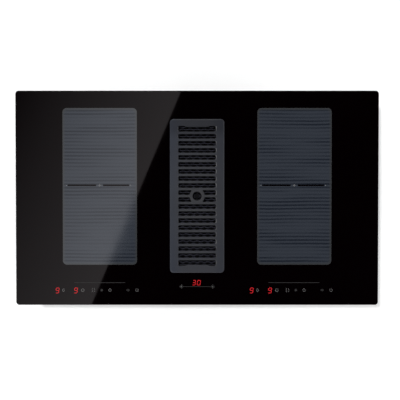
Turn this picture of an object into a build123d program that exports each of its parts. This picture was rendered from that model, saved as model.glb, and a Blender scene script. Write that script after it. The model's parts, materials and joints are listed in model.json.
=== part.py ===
"""Built-in downdraft induction cooktop, 880 x 520 mm, all sizes in millimetres.

The origin is the centre of the worktop cut-out, on the worktop's upper surface. +X is to the
user's right, +Y to the rear wall and +Z up, so the glass lies just above z = 0 and everything
else hangs below it. Heights are counted from that surface, downwards as negative values.
"""
from build123d import *
import math
import os

# ---------------------------------------------------------------- glass top and worktop
GLASS_WIDTH = 880.0
GLASS_DEPTH = 520.0
GLASS_THICKNESS = 4.0
GLASS_CORNER_RADIUS = 8.0
GLASS_BEVEL = 0.8
GASKET_THICKNESS = 2.0
GASKET_WIDTH = 8.0
GASKET_INSET = 3.0
WORKTOP_OVERLAP = 15.0
CUTOUT_PLAY = 7.0

# ---------------------------------------------------------------- cooking zones and controls
ZONE_WIDTH = 180.0
ZONE_SIDE_MARGIN = 114.0
ZONE_REAR_MARGIN = 42.0
ZONE_FRONT_MARGIN = 98.0
CONTROL_DEPTH = 36.0
CONTROL_FRONT_MARGIN = 28.0
SIDE_CONTROL_WIDTH = 216.0
SIDE_CONTROL_SHIFT = -7.0
MIDDLE_CONTROL_WIDTH = 106.0
SYMBOL_ROW = -10.0
SLIDER_ROW = 8.0
SYMBOL_OFFSETS = (-82.0, -35.0, -8.5, 11.0, 31.0, 75.0, 96.5)
LEVEL_DIGIT_OFFSETS = (-96.5, -50.3)
TIMER_DIGIT_OFFSET = 6.2
TIMER_SYMBOL_OFFSET = 38.0
SLIDER_START = -51.0
SLIDER_PITCH = 28.0
SLIDER_CONTACTS = 5

# ---------------------------------------------------------------- vent opening and its grille
VENT_WIDTH = 116.0
VENT_FRONT_MARGIN = 86.5
VENT_REAR_MARGIN = 76.5
VENT_CORNER_RADIUS = 6.0
GRILLE_OVERLAP = 8.0
GRILLE_CORNER_RADIUS = 9.0
GRILLE_THICKNESS = 6.4
GRILLE_EDGE_ROUND = 3.6
FOOT_HEIGHT = 0.6
FOOT_LENGTH = 16.0
FOOT_LUG = 2.6
FOOT_LUG_DROP = 3.0
FOOT_PLAY = 0.6
FOOT_END_MARGIN = 30.0
SLOT_PITCH = 17.0
SLOT_HEIGHT = 10.2
SLOT_LENGTH = 90.0
SLOT_CORNER_RADIUS = 2.6
SLOT_END_MARGIN = 14.0
SLOT_DRAFT_DEG = 7.0
END_SLOT_STEP = 2.4
END_SLOT_EAR = 16.0
FINGER_HOLE_RADIUS = 11.0
FINGER_BOSS_RADIUS = 19.0

# ---------------------------------------------------------------- intake well and grease filter
WELL_STEP = 2.0
WELL_WALL = 1.6
WELL_FLANGE = 10.0
WELL_FLANGE_THICKNESS = 1.2
WELL_SEAL_THICKNESS = 0.6
WELL_SEAL_WIDTH = 6.0
WELL_LEDGE = 4.0
WELL_LEDGE_THICKNESS = 2.0
WELL_TAIL = 5.0
FILTER_PLAY = 1.0
FILTER_SINK = 12.0
FILTER_HEIGHT = 40.0
FILTER_SHEET = 1.2
FILTER_CORNER_RADIUS = 5.0
FILTER_LIP = 6.0
PERFORATION_LENGTH = 15.0
PERFORATION_WIDTH = 7.8
PERFORATION_PITCH_X = 17.4
PERFORATION_PITCH_Y = 11.3
PANEL_PLAY = 0.2
PULL_RADIUS = 12.0
PULL_PLATE = 1.6
PULL_RIB = 3.4
PULL_RIB_INSET = 2.0
PULL_RISE = 5.0

# ---------------------------------------------------------------- sheet steel base tray
TRAY_BELOW_WORKTOP = 58.0
TRAY_SHEET = 1.0
TRAY_CORNER_RADIUS = 4.0
TRAY_HOLE_PLAY = 0.3
VENT_SLOT_LENGTH = 34.0
VENT_SLOT_WIDTH = 4.0
VENT_SLOT_PITCH = 8.0
FLOOR_VENT_SLOTS = 8
WALL_VENT_SLOTS = 12
WALL_VENT_HEIGHT = 18.0
WALL_VENT_WIDTH = 3.2
WALL_VENT_RISE = 12.0
BRACKET_LENGTH = 40.0
BRACKET_SHEET = 1.2
BRACKET_FOOT = 14.0
BRACKET_DROP = 20.0
CLIP_LENGTH = 30.0
CLIP_SHEET = 0.8
CLIP_BULGE = 5.0
CLIP_HEIGHT = 44.0
CLIP_FOOT = 12.0
CLIP_TOP_GAP = 4.0
CLIP_SETBACK = 70.0
SCREW_RADIUS = 2.0
SCREW_HEAD_RADIUS = 3.8
SCREW_HEAD_HEIGHT = 2.2
SCREW_LENGTH = 7.0

# ---------------------------------------------------------------- coil packs under the zones
MICA_THICKNESS = 0.8
WINDING_THICKNESS = 5.0
CARRIER_THICKNESS = 3.0
FERRITE_THICKNESS = 4.0
FERRITE_WIDTH = 12.0
FERRITE_INNER = 21.0
FERRITE_OUTER = 82.0
FERRITE_BARS = 8
COIL_PLATE_SHEET = 1.5
COIL_PLATE_MARGIN = 5.0
COIL_GAP = 8.0
COIL_CORNER_RADIUS = 50.0
COIL_EYE_WIDTH = 52.0
COIL_EYE_DEPTH = 58.0
COIL_EYE_RADIUS = 22.0
SENSOR_RADIUS = 7.0
SENSOR_PLAY = 0.5
POST_RADIUS = 6.0
POST_HEIGHT = 27.0
POST_INSET = 7.0
SPRING_RADIUS = 4.5
SPRING_WALL = 1.2

# ---------------------------------------------------------------- power electronics
BOARD_WIDTH = 170.0
BOARD_DEPTH = 300.0
BOARD_THICKNESS = 1.6
STANDOFF_HEIGHT = 6.0
STANDOFF_RADIUS = 3.5
STANDOFF_INSET = 8.0
FILM_CAP_LENGTH = 34.0
FILM_CAP_WIDTH = 16.0
FILM_CAP_HEIGHT = 22.0
BULK_CAP_RADIUS = 11.0
BULK_CAP_HEIGHT = 26.0
CHOKE_RADIUS = 18.0
CHOKE_HEIGHT = 20.0
RELAY_LENGTH = 28.0
RELAY_WIDTH = 14.0
RELAY_HEIGHT = 16.0
COMPONENT_PITCH = 28.0
HEATSINK_WIDTH = 56.0
HEATSINK_DEPTH = 190.0
HEATSINK_BASE = 4.0
HEATSINK_HEIGHT = 26.0
HEATSINK_FINS = 9
FIN_THICKNESS = 1.8
COOLING_FAN_SIDE = 72.0
COOLING_FAN_HEIGHT = 18.0
COOLING_FAN_BORE = 33.0
COOLING_HUB_RADIUS = 13.0
COOLING_BLADES = 7
COOLING_BLADE_CHORD = 16.0
COOLING_BLADE_THICKNESS = 1.4
COOLING_PITCH_DEG = 38.0
COOLING_TIP_GAP = 1.5
COOLING_STRUT = 2.0
COOLING_PIN_RADIUS = 2.0
COOLING_PIN_HEIGHT = 13.0
COOLING_FAN_MARGIN = 4.0
COOLING_FAN_SETBACK = 60.0
FILTER_BOARD_WIDTH = 58.0
FILTER_BOARD_DEPTH = 120.0
FILTER_BOARD_MARGIN = 5.0
PAD_SIDE = 7.0
HOLDER_WALL = 2.0
HOLDER_SINK = 6.0
DIGIT_WIDTH = 12.0
DIGIT_DEPTH = 15.0
DIGIT_GAP = 0.3
CONTROL_GAP = 12.0

# ---------------------------------------------------------------- terminal box
TERMINAL_WIDTH = 110.0
TERMINAL_DEPTH = 64.0
TERMINAL_HEIGHT = 28.0
TERMINAL_WALL = 2.2
TERMINAL_SIDE_MARGIN = 65.0
TERMINAL_REAR_MARGIN = 6.0
TERMINAL_CORNER_RADIUS = 4.0
TERMINAL_LUG = 12.0
WIRE_HOLE_RADIUS = 9.0
TERMINAL_POLES = 5
POLE_PITCH = 13.0
POLE_DEPTH = 22.0
POLE_HEIGHT = 15.0
POLE_WELL_RADIUS = 3.0
POLE_WIRE_WAY = 5.0
GROMMET_BORE_RADIUS = 6.5
GROMMET_RADIUS = 10.0
GROMMET_LENGTH = 9.0
GROMMET_LIP = 2.0
LID_THICKNESS = 2.0
LID_GAP = 0.3
LID_PIN_RADIUS = 1.6
LID_PIN_PLAY = 0.06
LID_PIN_RISE = 1.0
LID_BARREL_WALL = 1.4
LID_BARREL_GAP = 1.6
LID_EAR_WIDTH = 6.0
LID_EAR_INSET = 11.0
LID_EAR_HEIGHT = 7.6
LID_SIDE_PLAY = 0.4

# ---------------------------------------------------------------- fan box and blower
FAN_BOX_HALF_WIDTH = 170.0
FAN_BOX_HEIGHT = 147.0
FAN_BOX_SHEET = 1.2
FAN_BOX_FLANGE = 10.0
FAN_BOX_CORNER_RADIUS = 3.0
FLANGE_SCREW_INSET = 20.0
FAN_BOX_FRONT_SETBACK = 13.0
FAN_BOX_REAR_SETBACK = 48.0
BLOWER_X = -45.0
BLOWER_BEHIND_SPIRAL = 42.0
WHEEL_RADIUS = 88.0
WHEEL_HEIGHT = 68.0
WHEEL_FLOOR_GAP = 4.0
WHEEL_BLADES = 32
BLADE_CHORD = 18.0
BLADE_THICKNESS = 1.6
WHEEL_RING = 2.5
WHEEL_DISC = 2.0
SPIRAL_RADIUS = 108.0
SPIRAL_STEP = 14.0
TONGUE_ANGLE_DEG = 65.0
SCROLL_WALL = 2.0
SCROLL_HEIGHT = 88.0
SCROLL_LIP_HEIGHT = 8.0
INLET_RADIUS = 66.0
INLET_LIP_HEIGHT = 7.0
INLET_NECK = 6.0
WHEEL_HUB_RADIUS = 12.0
WHEEL_HUB_HEIGHT = 8.0
MOTOR_RADIUS = 42.0
MOTOR_HEIGHT = 34.0
MOTOR_ROUND = 5.0
MOTOR_CLEARANCE = 3.0
SCROLL_FLANGE = 4.0
SCROLL_FLANGE_THICKNESS = 1.6
SHAFT_RADIUS = 4.0
SHAFT_PLAY = 0.05
SHAFT_END_GAP = 0.5
SHAFT_TUNNEL_GAP = 2.0
BEARING_RADIUS = 11.0
BEARING_HEIGHT = 7.0
BUSH_HEIGHT = 4.0
BUSH_RADIUS = 8.0
BUSH_REACH = 0.6

# ---------------------------------------------------------------- outlet for a 222 x 89 flat duct
SPIGOT_WIDTH = 222.0
SPIGOT_HEIGHT = 89.0
SPIGOT_WALL = 2.0
SPIGOT_LENGTH = 53.0
OUTLET_EAR = 10.0
OUTLET_EAR_HEIGHT = 70.0
SLEEVE_LENGTH = 8.0
SLEEVE_PLAY = 0.3
SHUTTER_BLADES = 3
SHUTTER_SHEET = 1.2
SHUTTER_BARREL_RADIUS = 1.8
SHUTTER_PIN_RADIUS = 1.2
SHUTTER_PIN_PLAY = 0.08
SHUTTER_PLAY = 0.6
SHUTTER_SETBACK = 32.0
SHUTTER_LIP = 3.0

# ---------------------------------------------------------------- overflow drawer
DRAWER_WIDTH = 200.0
DRAWER_HEIGHT = 38.0
DRAWER_WALL = 2.0
DRAWER_PLAY = 0.5
DRAWER_CORNER_RADIUS = 8.0
DRAWER_FRONT_OVERLAP = 6.0
DRAWER_FRONT_THICKNESS = 3.0
DRAWER_FRONT_GAP = 0.3
DRAWER_TO_SCROLL = 12.0
DRAWER_GRIP_WIDTH = 90.0
DRAWER_GRIP_REACH = 9.0
RAIL_HEIGHT = 12.0
RAIL_SHEET = 1.5
RAIL_FOOT = 12.0

# ---------------------------------------------------------------- motor driver on the fan box wall
DRIVER_LENGTH = 110.0
DRIVER_HEIGHT = 60.0
DRIVER_DEPTH = 18.0
DRIVER_EDGE_ROUND = 2.0

# ---------------------------------------------------------------- places worked out from the sizes
GLASS_BOTTOM = GASKET_THICKNESS
GLASS_TOP = GLASS_BOTTOM + GLASS_THICKNESS
GLASS_FRONT = -GLASS_DEPTH / 2
CUTOUT_WIDTH = GLASS_WIDTH - 2 * WORKTOP_OVERLAP
CUTOUT_DEPTH = GLASS_DEPTH - 2 * WORKTOP_OVERLAP
TRAY_WIDTH = CUTOUT_WIDTH - 2 * CUTOUT_PLAY
TRAY_DEPTH = CUTOUT_DEPTH - 2 * CUTOUT_PLAY
TRAY_BOTTOM = -TRAY_BELOW_WORKTOP
TRAY_FLOOR = TRAY_BOTTOM + TRAY_SHEET
TRAY_INSIDE_X = TRAY_WIDTH / 2 - TRAY_SHEET
TRAY_INSIDE_Y = TRAY_DEPTH / 2 - TRAY_SHEET

VENT_DEPTH = GLASS_DEPTH - VENT_FRONT_MARGIN - VENT_REAR_MARGIN
VENT_Y = (VENT_FRONT_MARGIN - VENT_REAR_MARGIN) / 2
ZONE_DEPTH = GLASS_DEPTH - ZONE_REAR_MARGIN - ZONE_FRONT_MARGIN
ZONE_X = GLASS_WIDTH / 2 - ZONE_SIDE_MARGIN - ZONE_WIDTH / 2
ZONE_Y = (ZONE_FRONT_MARGIN - ZONE_REAR_MARGIN) / 2

GRILLE_WIDTH = VENT_WIDTH + 2 * GRILLE_OVERLAP
GRILLE_DEPTH = VENT_DEPTH + 2 * GRILLE_OVERLAP
GRILLE_BOTTOM = GLASS_TOP + FOOT_HEIGHT
SLOT_ROWS = 2 * int((GRILLE_DEPTH - 2 * SLOT_END_MARGIN) / (2 * SLOT_PITCH))

WELL_CLEAR_WIDTH = VENT_WIDTH - 2 * WELL_STEP
WELL_CLEAR_DEPTH = VENT_DEPTH - 2 * WELL_STEP
WELL_TOP = GLASS_BOTTOM - WELL_SEAL_THICKNESS
WELL_BOTTOM = TRAY_BOTTOM - WELL_TAIL
FILTER_WIDTH = WELL_CLEAR_WIDTH - 2 * FILTER_PLAY
FILTER_DEPTH = WELL_CLEAR_DEPTH - 2 * FILTER_PLAY
FILTER_TOP = GLASS_TOP - FILTER_SINK
FILTER_BOTTOM = FILTER_TOP - FILTER_HEIGHT

MICA_BOTTOM = GLASS_BOTTOM - MICA_THICKNESS
WINDING_BOTTOM = MICA_BOTTOM - WINDING_THICKNESS
CARRIER_BOTTOM = WINDING_BOTTOM - CARRIER_THICKNESS
FERRITE_BOTTOM = CARRIER_BOTTOM - FERRITE_THICKNESS
COIL_PLATE_BOTTOM = FERRITE_BOTTOM - COIL_PLATE_SHEET
COIL_WIDTH = ZONE_WIDTH - COIL_GAP
COIL_DEPTH = ZONE_DEPTH / 2 - COIL_GAP
BOARD_BOTTOM = TRAY_FLOOR + STANDOFF_HEIGHT
BOARD_TOP = BOARD_BOTTOM + BOARD_THICKNESS
COOLING_FAN_X = TRAY_INSIDE_X - COOLING_FAN_SIDE / 2 - COOLING_FAN_MARGIN
COOLING_FAN_Y = ZONE_Y - COOLING_FAN_SETBACK

CONTROL_Y = GLASS_FRONT + CONTROL_FRONT_MARGIN + CONTROL_DEPTH / 2
CONTROL_BOARD_TOP = GLASS_BOTTOM - CONTROL_GAP

FAN_BOX_FRONT = -TRAY_DEPTH / 2 + FAN_BOX_FRONT_SETBACK
FAN_BOX_REAR = TRAY_DEPTH / 2 - FAN_BOX_REAR_SETBACK
FAN_BOX_BOTTOM = TRAY_BOTTOM - FAN_BOX_HEIGHT
FAN_BOX_FLOOR = FAN_BOX_BOTTOM + FAN_BOX_SHEET
SCROLL_BOTTOM = FAN_BOX_FLOOR + BUSH_HEIGHT
SCROLL_TOP = SCROLL_BOTTOM + SCROLL_HEIGHT
CHANNEL_LOW = SCROLL_BOTTOM + SCROLL_WALL
CHANNEL_HIGH = SCROLL_TOP - SCROLL_WALL
SCROLL_EXIT_Y = FAN_BOX_REAR - BLOWER_BEHIND_SPIRAL
BLOWER_Y = SCROLL_EXIT_Y - SPIRAL_RADIUS + SPIRAL_STEP / 2 - 2 * SCROLL_WALL
SPIGOT_Z = (CHANNEL_LOW + CHANNEL_HIGH) / 2
CHANNEL_RIGHT = BLOWER_X + SPIRAL_RADIUS + 2.5 * SPIRAL_STEP
CHANNEL_LEFT = (BLOWER_X - SPIRAL_STEP / 2
                + SPIRAL_RADIUS * math.cos(math.radians(TONGUE_ANGLE_DEG)))
SPIGOT_X = (CHANNEL_LEFT + CHANNEL_RIGHT) / 2
SCROLL_FRONT_Y = BLOWER_Y - SPIRAL_RADIUS - 1.5 * SPIRAL_STEP - SCROLL_WALL
WHEEL_BOTTOM = CHANNEL_LOW + WHEEL_FLOOR_GAP
SHUTTER_Y = FAN_BOX_REAR + SPIGOT_LENGTH - SHUTTER_SETBACK


# ---------------------------------------------------------------- small helpers
def block(x0, x1, y0, y1, z0, z1):
    """A box given by its limits along each axis."""
    return Pos((x0 + x1) / 2, (y0 + y1) / 2, (z0 + z1) / 2) * Box(x1 - x0, y1 - y0, z1 - z0)


def slab(width, depth, z0, z1, x=0.0, y=0.0, radius=0.0):
    """A flat plate between two heights, with rounded corners where a radius is given."""
    outline = RectangleRounded(width, depth, radius) if radius else Rectangle(width, depth)
    return Pos(x, y, z0) * extrude(outline, z1 - z0)


def rod(radius, z0, z1, x=0.0, y=0.0):
    """An upright cylinder between two heights."""
    return Pos(x, y, (z0 + z1) / 2) * Cylinder(radius, z1 - z0)


def group(pieces):
    """Several separate solids kept in one node."""
    return Compound([solid for piece in pieces for solid in piece.solids()])


# ---------------------------------------------------------------- glass, gasket and brackets
def make_glass_top():
    outline = RectangleRounded(GLASS_WIDTH, GLASS_DEPTH, GLASS_CORNER_RADIUS)
    opening = Pos(0, VENT_Y) * RectangleRounded(VENT_WIDTH, VENT_DEPTH, VENT_CORNER_RADIUS)
    glass = Pos(0, 0, GLASS_BOTTOM) * extrude(outline - opening, GLASS_THICKNESS)
    rim = glass.faces().sort_by(Axis.Z)[-1].outer_wire().edges()
    return chamfer(rim, GLASS_BEVEL)


def make_worktop_gasket():
    """Four butted strips of foam tape between the glass and the worktop."""
    half_x = GLASS_WIDTH / 2 - GASKET_INSET
    half_y = GLASS_DEPTH / 2 - GASKET_INSET
    strips = []
    for side in (-1, 1):
        y = side * (half_y - GASKET_WIDTH / 2)
        strips.append(slab(2 * half_x, GASKET_WIDTH, 0, GLASS_BOTTOM, 0, y))
        x = side * (half_x - GASKET_WIDTH / 2)
        strips.append(slab(GASKET_WIDTH, 2 * (half_y - GASKET_WIDTH), 0, GLASS_BOTTOM, x, 0))
    return group(strips)


def bracket_places():
    """(x, y, turn) of each glass bracket: the tray wall's inner face and its outward bearing."""
    gap_x = (MIDDLE_CONTROL_WIDTH / 2 + ZONE_X - SIDE_CONTROL_WIDTH / 2) / 2
    side_y = TRAY_INSIDE_Y - CLIP_SETBACK - CLIP_LENGTH - BRACKET_LENGTH
    places = []
    for side in (-1, 1):
        places.append((side * gap_x, TRAY_INSIDE_Y, 90))
        places.append((side * gap_x, -TRAY_INSIDE_Y, -90))
        places.append((side * (TRAY_INSIDE_X - BRACKET_LENGTH), TRAY_INSIDE_Y, 90))
        places.append((TRAY_INSIDE_X, side * side_y, 0))
        places.append((-TRAY_INSIDE_X, side * side_y, 180))
    return places


def make_glass_brackets():
    """Angle brackets bonded under the glass and screwed to the tray wall."""
    foot = block(-BRACKET_FOOT, 0, -BRACKET_LENGTH / 2, BRACKET_LENGTH / 2,
                 GLASS_BOTTOM - BRACKET_SHEET, GLASS_BOTTOM)
    leg = block(-BRACKET_SHEET, 0, -BRACKET_LENGTH / 2, BRACKET_LENGTH / 2,
                GLASS_BOTTOM - BRACKET_DROP, GLASS_BOTTOM - BRACKET_SHEET)
    hole = Pos(0, 0, GLASS_BOTTOM - BRACKET_DROP / 2) * Rot(0, 90, 0) * Cylinder(
        SCREW_RADIUS, 4 * BRACKET_SHEET)
    bracket = foot + leg - hole
    return group([Pos(x, y, 0) * Rot(0, 0, turn) * bracket for x, y, turn in bracket_places()])


def screw_along_x():
    """A pan-head screw whose head bears on the plane x = 0 and whose shank runs to -X."""
    shank = Rot(0, 90, 0) * Cylinder(SCREW_RADIUS, SCREW_LENGTH)
    head = Rot(0, 90, 0) * Cone(SCREW_HEAD_RADIUS, SCREW_HEAD_RADIUS * 0.7, SCREW_HEAD_HEIGHT)
    return Pos(-SCREW_LENGTH / 2, 0, 0) * shank + Pos(SCREW_HEAD_HEIGHT / 2, 0, 0) * head


# ---------------------------------------------------------------- base tray
def floor_vents(side):
    """The air slots under one cooling fan."""
    cuts = []
    for row in range(FLOOR_VENT_SLOTS):
        y = COOLING_FAN_Y + (row - (FLOOR_VENT_SLOTS - 1) / 2) * VENT_SLOT_PITCH
        for half in (-1, 1):
            x = side * COOLING_FAN_X + half * (VENT_SLOT_LENGTH + VENT_SLOT_WIDTH) / 2
            cuts.append(slab(VENT_SLOT_LENGTH, VENT_SLOT_WIDTH, TRAY_BOTTOM - 1, TRAY_FLOOR + 1,
                             x, y))
    return cuts


def wall_vents(side):
    """The warm air slots in the rear wall behind one coil pack."""
    cuts = []
    for column in range(WALL_VENT_SLOTS):
        x = side * ZONE_X + (column - (WALL_VENT_SLOTS - 1) / 2) * VENT_SLOT_PITCH
        z = TRAY_FLOOR + WALL_VENT_RISE + WALL_VENT_HEIGHT / 2
        cuts.append(Pos(x, TRAY_DEPTH / 2, z) * Box(WALL_VENT_WIDTH, 4, WALL_VENT_HEIGHT))
    return cuts


def make_base_tray():
    tray = slab(TRAY_WIDTH, TRAY_DEPTH, TRAY_BOTTOM, GLASS_BOTTOM, radius=TRAY_CORNER_RADIUS)
    tray -= slab(2 * TRAY_INSIDE_X, 2 * TRAY_INSIDE_Y, TRAY_FLOOR, GLASS_BOTTOM + 1,
                 radius=TRAY_CORNER_RADIUS - TRAY_SHEET)
    cuts = [slab(WELL_CLEAR_WIDTH + 2 * WELL_WALL + 2 * TRAY_HOLE_PLAY,
                 WELL_CLEAR_DEPTH + 2 * WELL_WALL + 2 * TRAY_HOLE_PLAY,
                 TRAY_BOTTOM - 1, TRAY_FLOOR + 1, 0, VENT_Y)]
    for side in (-1, 1):
        cuts += floor_vents(side) + wall_vents(side)
    cuts.append(wire_hole())
    for x, y, turn in bracket_places():
        cuts.append(Pos(x, y, GLASS_BOTTOM - BRACKET_DROP / 2) * Rot(0, 0, turn)
                    * Rot(0, 90, 0) * Cylinder(SCREW_RADIUS, 4 * TRAY_SHEET))
    for x, y, turn in clip_places():
        cuts.append(Pos(x, y, clip_screw_height()) * Rot(0, 0, turn)
                    * Rot(0, 90, 0) * Cylinder(SCREW_RADIUS, 4 * TRAY_SHEET))
    for x, y in flange_screw_places() + terminal_screw_places():
        cuts.append(rod(SCREW_RADIUS, TRAY_BOTTOM - 1, TRAY_FLOOR + 1, x, y))
    return tray - cuts


def clip_places():
    """(x, y, turn) of each worktop clip on the outside of the tray's end walls."""
    y = TRAY_DEPTH / 2 - CLIP_SETBACK
    return [(side * TRAY_WIDTH / 2, end * y, 0 if side > 0 else 180)
            for side in (-1, 1) for end in (-1, 1)]


def clip_screw_height():
    return GLASS_BOTTOM - CLIP_HEIGHT + CLIP_FOOT / 2


def make_worktop_clips():
    """Leaf springs that centre the cooktop in its cut-out and grip the worktop's edge."""
    foot_z = GLASS_BOTTOM - CLIP_HEIGHT
    knee_z = foot_z + CLIP_FOOT
    top_z = GLASS_BOTTOM - CLIP_TOP_GAP
    crown = (CLIP_BULGE, (knee_z + top_z) / 2)
    foot = Line((0, foot_z), (0, knee_z))
    leaf = ThreePointArc((0, knee_z), crown, (0, top_z))
    outer_foot = Line((CLIP_SHEET, foot_z), (CLIP_SHEET, knee_z))
    outer_leaf = ThreePointArc((CLIP_SHEET, knee_z), (crown[0] + CLIP_SHEET, crown[1]),
                               (CLIP_SHEET, top_z))
    ends = [Line((0, foot_z), (CLIP_SHEET, foot_z)), Line((0, top_z), (CLIP_SHEET, top_z))]
    profile = make_face([foot, leaf, outer_foot, outer_leaf] + ends)
    clip = extrude(Plane.XZ * profile, CLIP_LENGTH / 2, both=True)
    clip -= Pos(0, 0, clip_screw_height()) * Rot(0, 90, 0) * Cylinder(
        SCREW_RADIUS, 4 * CLIP_SHEET)
    return group([Pos(x, y, 0) * Rot(0, 0, turn) * clip for x, y, turn in clip_places()])


# ---------------------------------------------------------------- intake well
def make_intake_well():
    """The steel liner that hangs under the glass opening, with a ledge for the filter."""
    outer_width = WELL_CLEAR_WIDTH + 2 * WELL_WALL
    outer_depth = WELL_CLEAR_DEPTH + 2 * WELL_WALL
    well = slab(outer_width, outer_depth, WELL_BOTTOM, WELL_TOP, 0, VENT_Y, VENT_CORNER_RADIUS)
    well += slab(outer_width + 2 * WELL_FLANGE, outer_depth + 2 * WELL_FLANGE,
                 WELL_TOP - WELL_FLANGE_THICKNESS, WELL_TOP, 0, VENT_Y, VENT_CORNER_RADIUS)
    well -= slab(WELL_CLEAR_WIDTH, WELL_CLEAR_DEPTH, FILTER_BOTTOM, WELL_TOP + 1, 0, VENT_Y,
                 VENT_CORNER_RADIUS - WELL_WALL)
    well -= slab(WELL_CLEAR_WIDTH - 2 * WELL_LEDGE, WELL_CLEAR_DEPTH - 2 * WELL_LEDGE,
                 WELL_BOTTOM - 1, FILTER_BOTTOM + 1, 0, VENT_Y)
    below_ledge = FILTER_BOTTOM - WELL_LEDGE_THICKNESS
    return well - slab(WELL_CLEAR_WIDTH, WELL_CLEAR_DEPTH, WELL_BOTTOM - 1, below_ledge,
                       0, VENT_Y)


def make_well_seal():
    """Silicone ring between the well's flange and the glass."""
    outer = Rectangle(VENT_WIDTH + 2 * WELL_SEAL_WIDTH, VENT_DEPTH + 2 * WELL_SEAL_WIDTH)
    inner = RectangleRounded(VENT_WIDTH, VENT_DEPTH, VENT_CORNER_RADIUS)
    return Pos(0, VENT_Y, WELL_TOP) * extrude(outer - inner, WELL_SEAL_THICKNESS)


# ---------------------------------------------------------------- grease filter cassette
def make_filter_frame():
    """Folded frame of the cassette, with a lip all round above and below."""
    frame = slab(FILTER_WIDTH, FILTER_DEPTH, FILTER_BOTTOM, FILTER_TOP, 0, VENT_Y,
                 FILTER_CORNER_RADIUS)
    frame -= slab(FILTER_WIDTH - 2 * FILTER_SHEET, FILTER_DEPTH - 2 * FILTER_SHEET,
                  FILTER_BOTTOM + FILTER_SHEET, FILTER_TOP - FILTER_SHEET, 0, VENT_Y,
                  FILTER_CORNER_RADIUS - FILTER_SHEET)
    return frame - slab(FILTER_WIDTH - 2 * FILTER_LIP, FILTER_DEPTH - 2 * FILTER_LIP,
                        FILTER_BOTTOM - 1, FILTER_TOP + 1, 0, VENT_Y)


def perforations():
    """Centres of the staggered holes in the filter's top panel."""
    half_y = FILTER_DEPTH / 2 - FILTER_LIP - PERFORATION_WIDTH
    rows = int(half_y / PERFORATION_PITCH_Y)
    half_x = FILTER_WIDTH / 2 - FILTER_LIP - PERFORATION_LENGTH / 2 - 1
    centres = []
    for row in range(-rows, rows + 1):
        shift = 0 if row % 2 else PERFORATION_PITCH_X / 2
        columns = int((half_x + shift) / PERFORATION_PITCH_X)
        for column in range(-columns - 1, columns + 2):
            x = column * PERFORATION_PITCH_X + shift
            y = row * PERFORATION_PITCH_Y
            if abs(x) <= half_x and math.hypot(x, y) > PULL_RADIUS + PERFORATION_LENGTH / 2:
                centres.append((x, y))
    return centres


def make_filter_panel():
    """The perforated sheet that shows through the grille."""
    top = FILTER_TOP - FILTER_SHEET
    sheet = RectangleRounded(FILTER_WIDTH - 2 * FILTER_SHEET - 2 * PANEL_PLAY,
                             FILTER_DEPTH - 2 * FILTER_SHEET - 2 * PANEL_PLAY,
                             FILTER_CORNER_RADIUS - FILTER_SHEET)
    sheet -= [Pos(x, y) * Rectangle(PERFORATION_LENGTH, PERFORATION_WIDTH)
              for x, y in perforations()]
    return Pos(0, VENT_Y, top - FILTER_SHEET) * extrude(sheet, FILTER_SHEET)


def make_filter_media():
    """The pack of knitted aluminium that catches the grease, as one block."""
    return slab(FILTER_WIDTH - 2 * FILTER_SHEET - 2 * PANEL_PLAY,
                FILTER_DEPTH - 2 * FILTER_SHEET - 2 * PANEL_PLAY,
                FILTER_BOTTOM + FILTER_SHEET, FILTER_TOP - 2 * FILTER_SHEET, 0, VENT_Y,
                FILTER_CORNER_RADIUS - FILTER_SHEET)


def make_filter_pull():
    """The crossed finger pull in the middle of the filter, under the grille's finger hole."""
    base = FILTER_TOP - FILTER_SHEET
    pull = rod(PULL_RADIUS, base, base + PULL_PLATE, 0, VENT_Y)
    rib_length = 2 * (PULL_RADIUS - PULL_RIB_INSET)
    for width, depth in ((rib_length, PULL_RIB), (PULL_RIB, rib_length)):
        pull += slab(width, depth, base + PULL_PLATE, base + PULL_RISE, 0, VENT_Y)
    return pull


# ---------------------------------------------------------------- grille
def drafted_slot(x, y, length, height):
    """A slot through the grille whose walls open upwards."""
    flare = 2 * GRILLE_THICKNESS * math.tan(math.radians(SLOT_DRAFT_DEG))
    narrow = RectangleRounded(length, height, SLOT_CORNER_RADIUS)
    wide = RectangleRounded(length + flare, height + flare, SLOT_CORNER_RADIUS + flare / 2)
    return loft([Pos(x, y, 0) * narrow, Pos(x, y, GRILLE_THICKNESS) * wide], ruled=True)


def slot_row(row):
    """One row of the grille: a slot, stepped in the end rows and cut short round the boss."""
    y = (row - (SLOT_ROWS - 1) / 2) * SLOT_PITCH
    slot = drafted_slot(0, y, SLOT_LENGTH, SLOT_HEIGHT)
    if row in (0, SLOT_ROWS - 1):
        ear_y = y + math.copysign(END_SLOT_STEP / 2, y)
        slot += [drafted_slot(side * (SLOT_LENGTH - END_SLOT_EAR) / 2, ear_y, END_SLOT_EAR,
                              SLOT_HEIGHT + END_SLOT_STEP) for side in (-1, 1)]
    if abs(y) < SLOT_PITCH:
        slot -= Cylinder(FINGER_BOSS_RADIUS, 4 * GRILLE_THICKNESS)
    return slot.solids()


def make_vent_grille():
    """The cast grille: a plate with a rounded rim, drafted slots and a round finger hole."""
    plate = slab(GRILLE_WIDTH, GRILLE_DEPTH, 0, GRILLE_THICKNESS, radius=GRILLE_CORNER_RADIUS)
    plate = fillet(plate.faces().sort_by(Axis.Z)[-1].edges(), GRILLE_EDGE_ROUND)
    cuts = [solid for row in range(SLOT_ROWS) for solid in slot_row(row)]
    cuts.append(Cylinder(FINGER_HOLE_RADIUS, 4 * GRILLE_THICKNESS))
    return Pos(0, VENT_Y, GRILLE_BOTTOM) * (plate - cuts)


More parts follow.
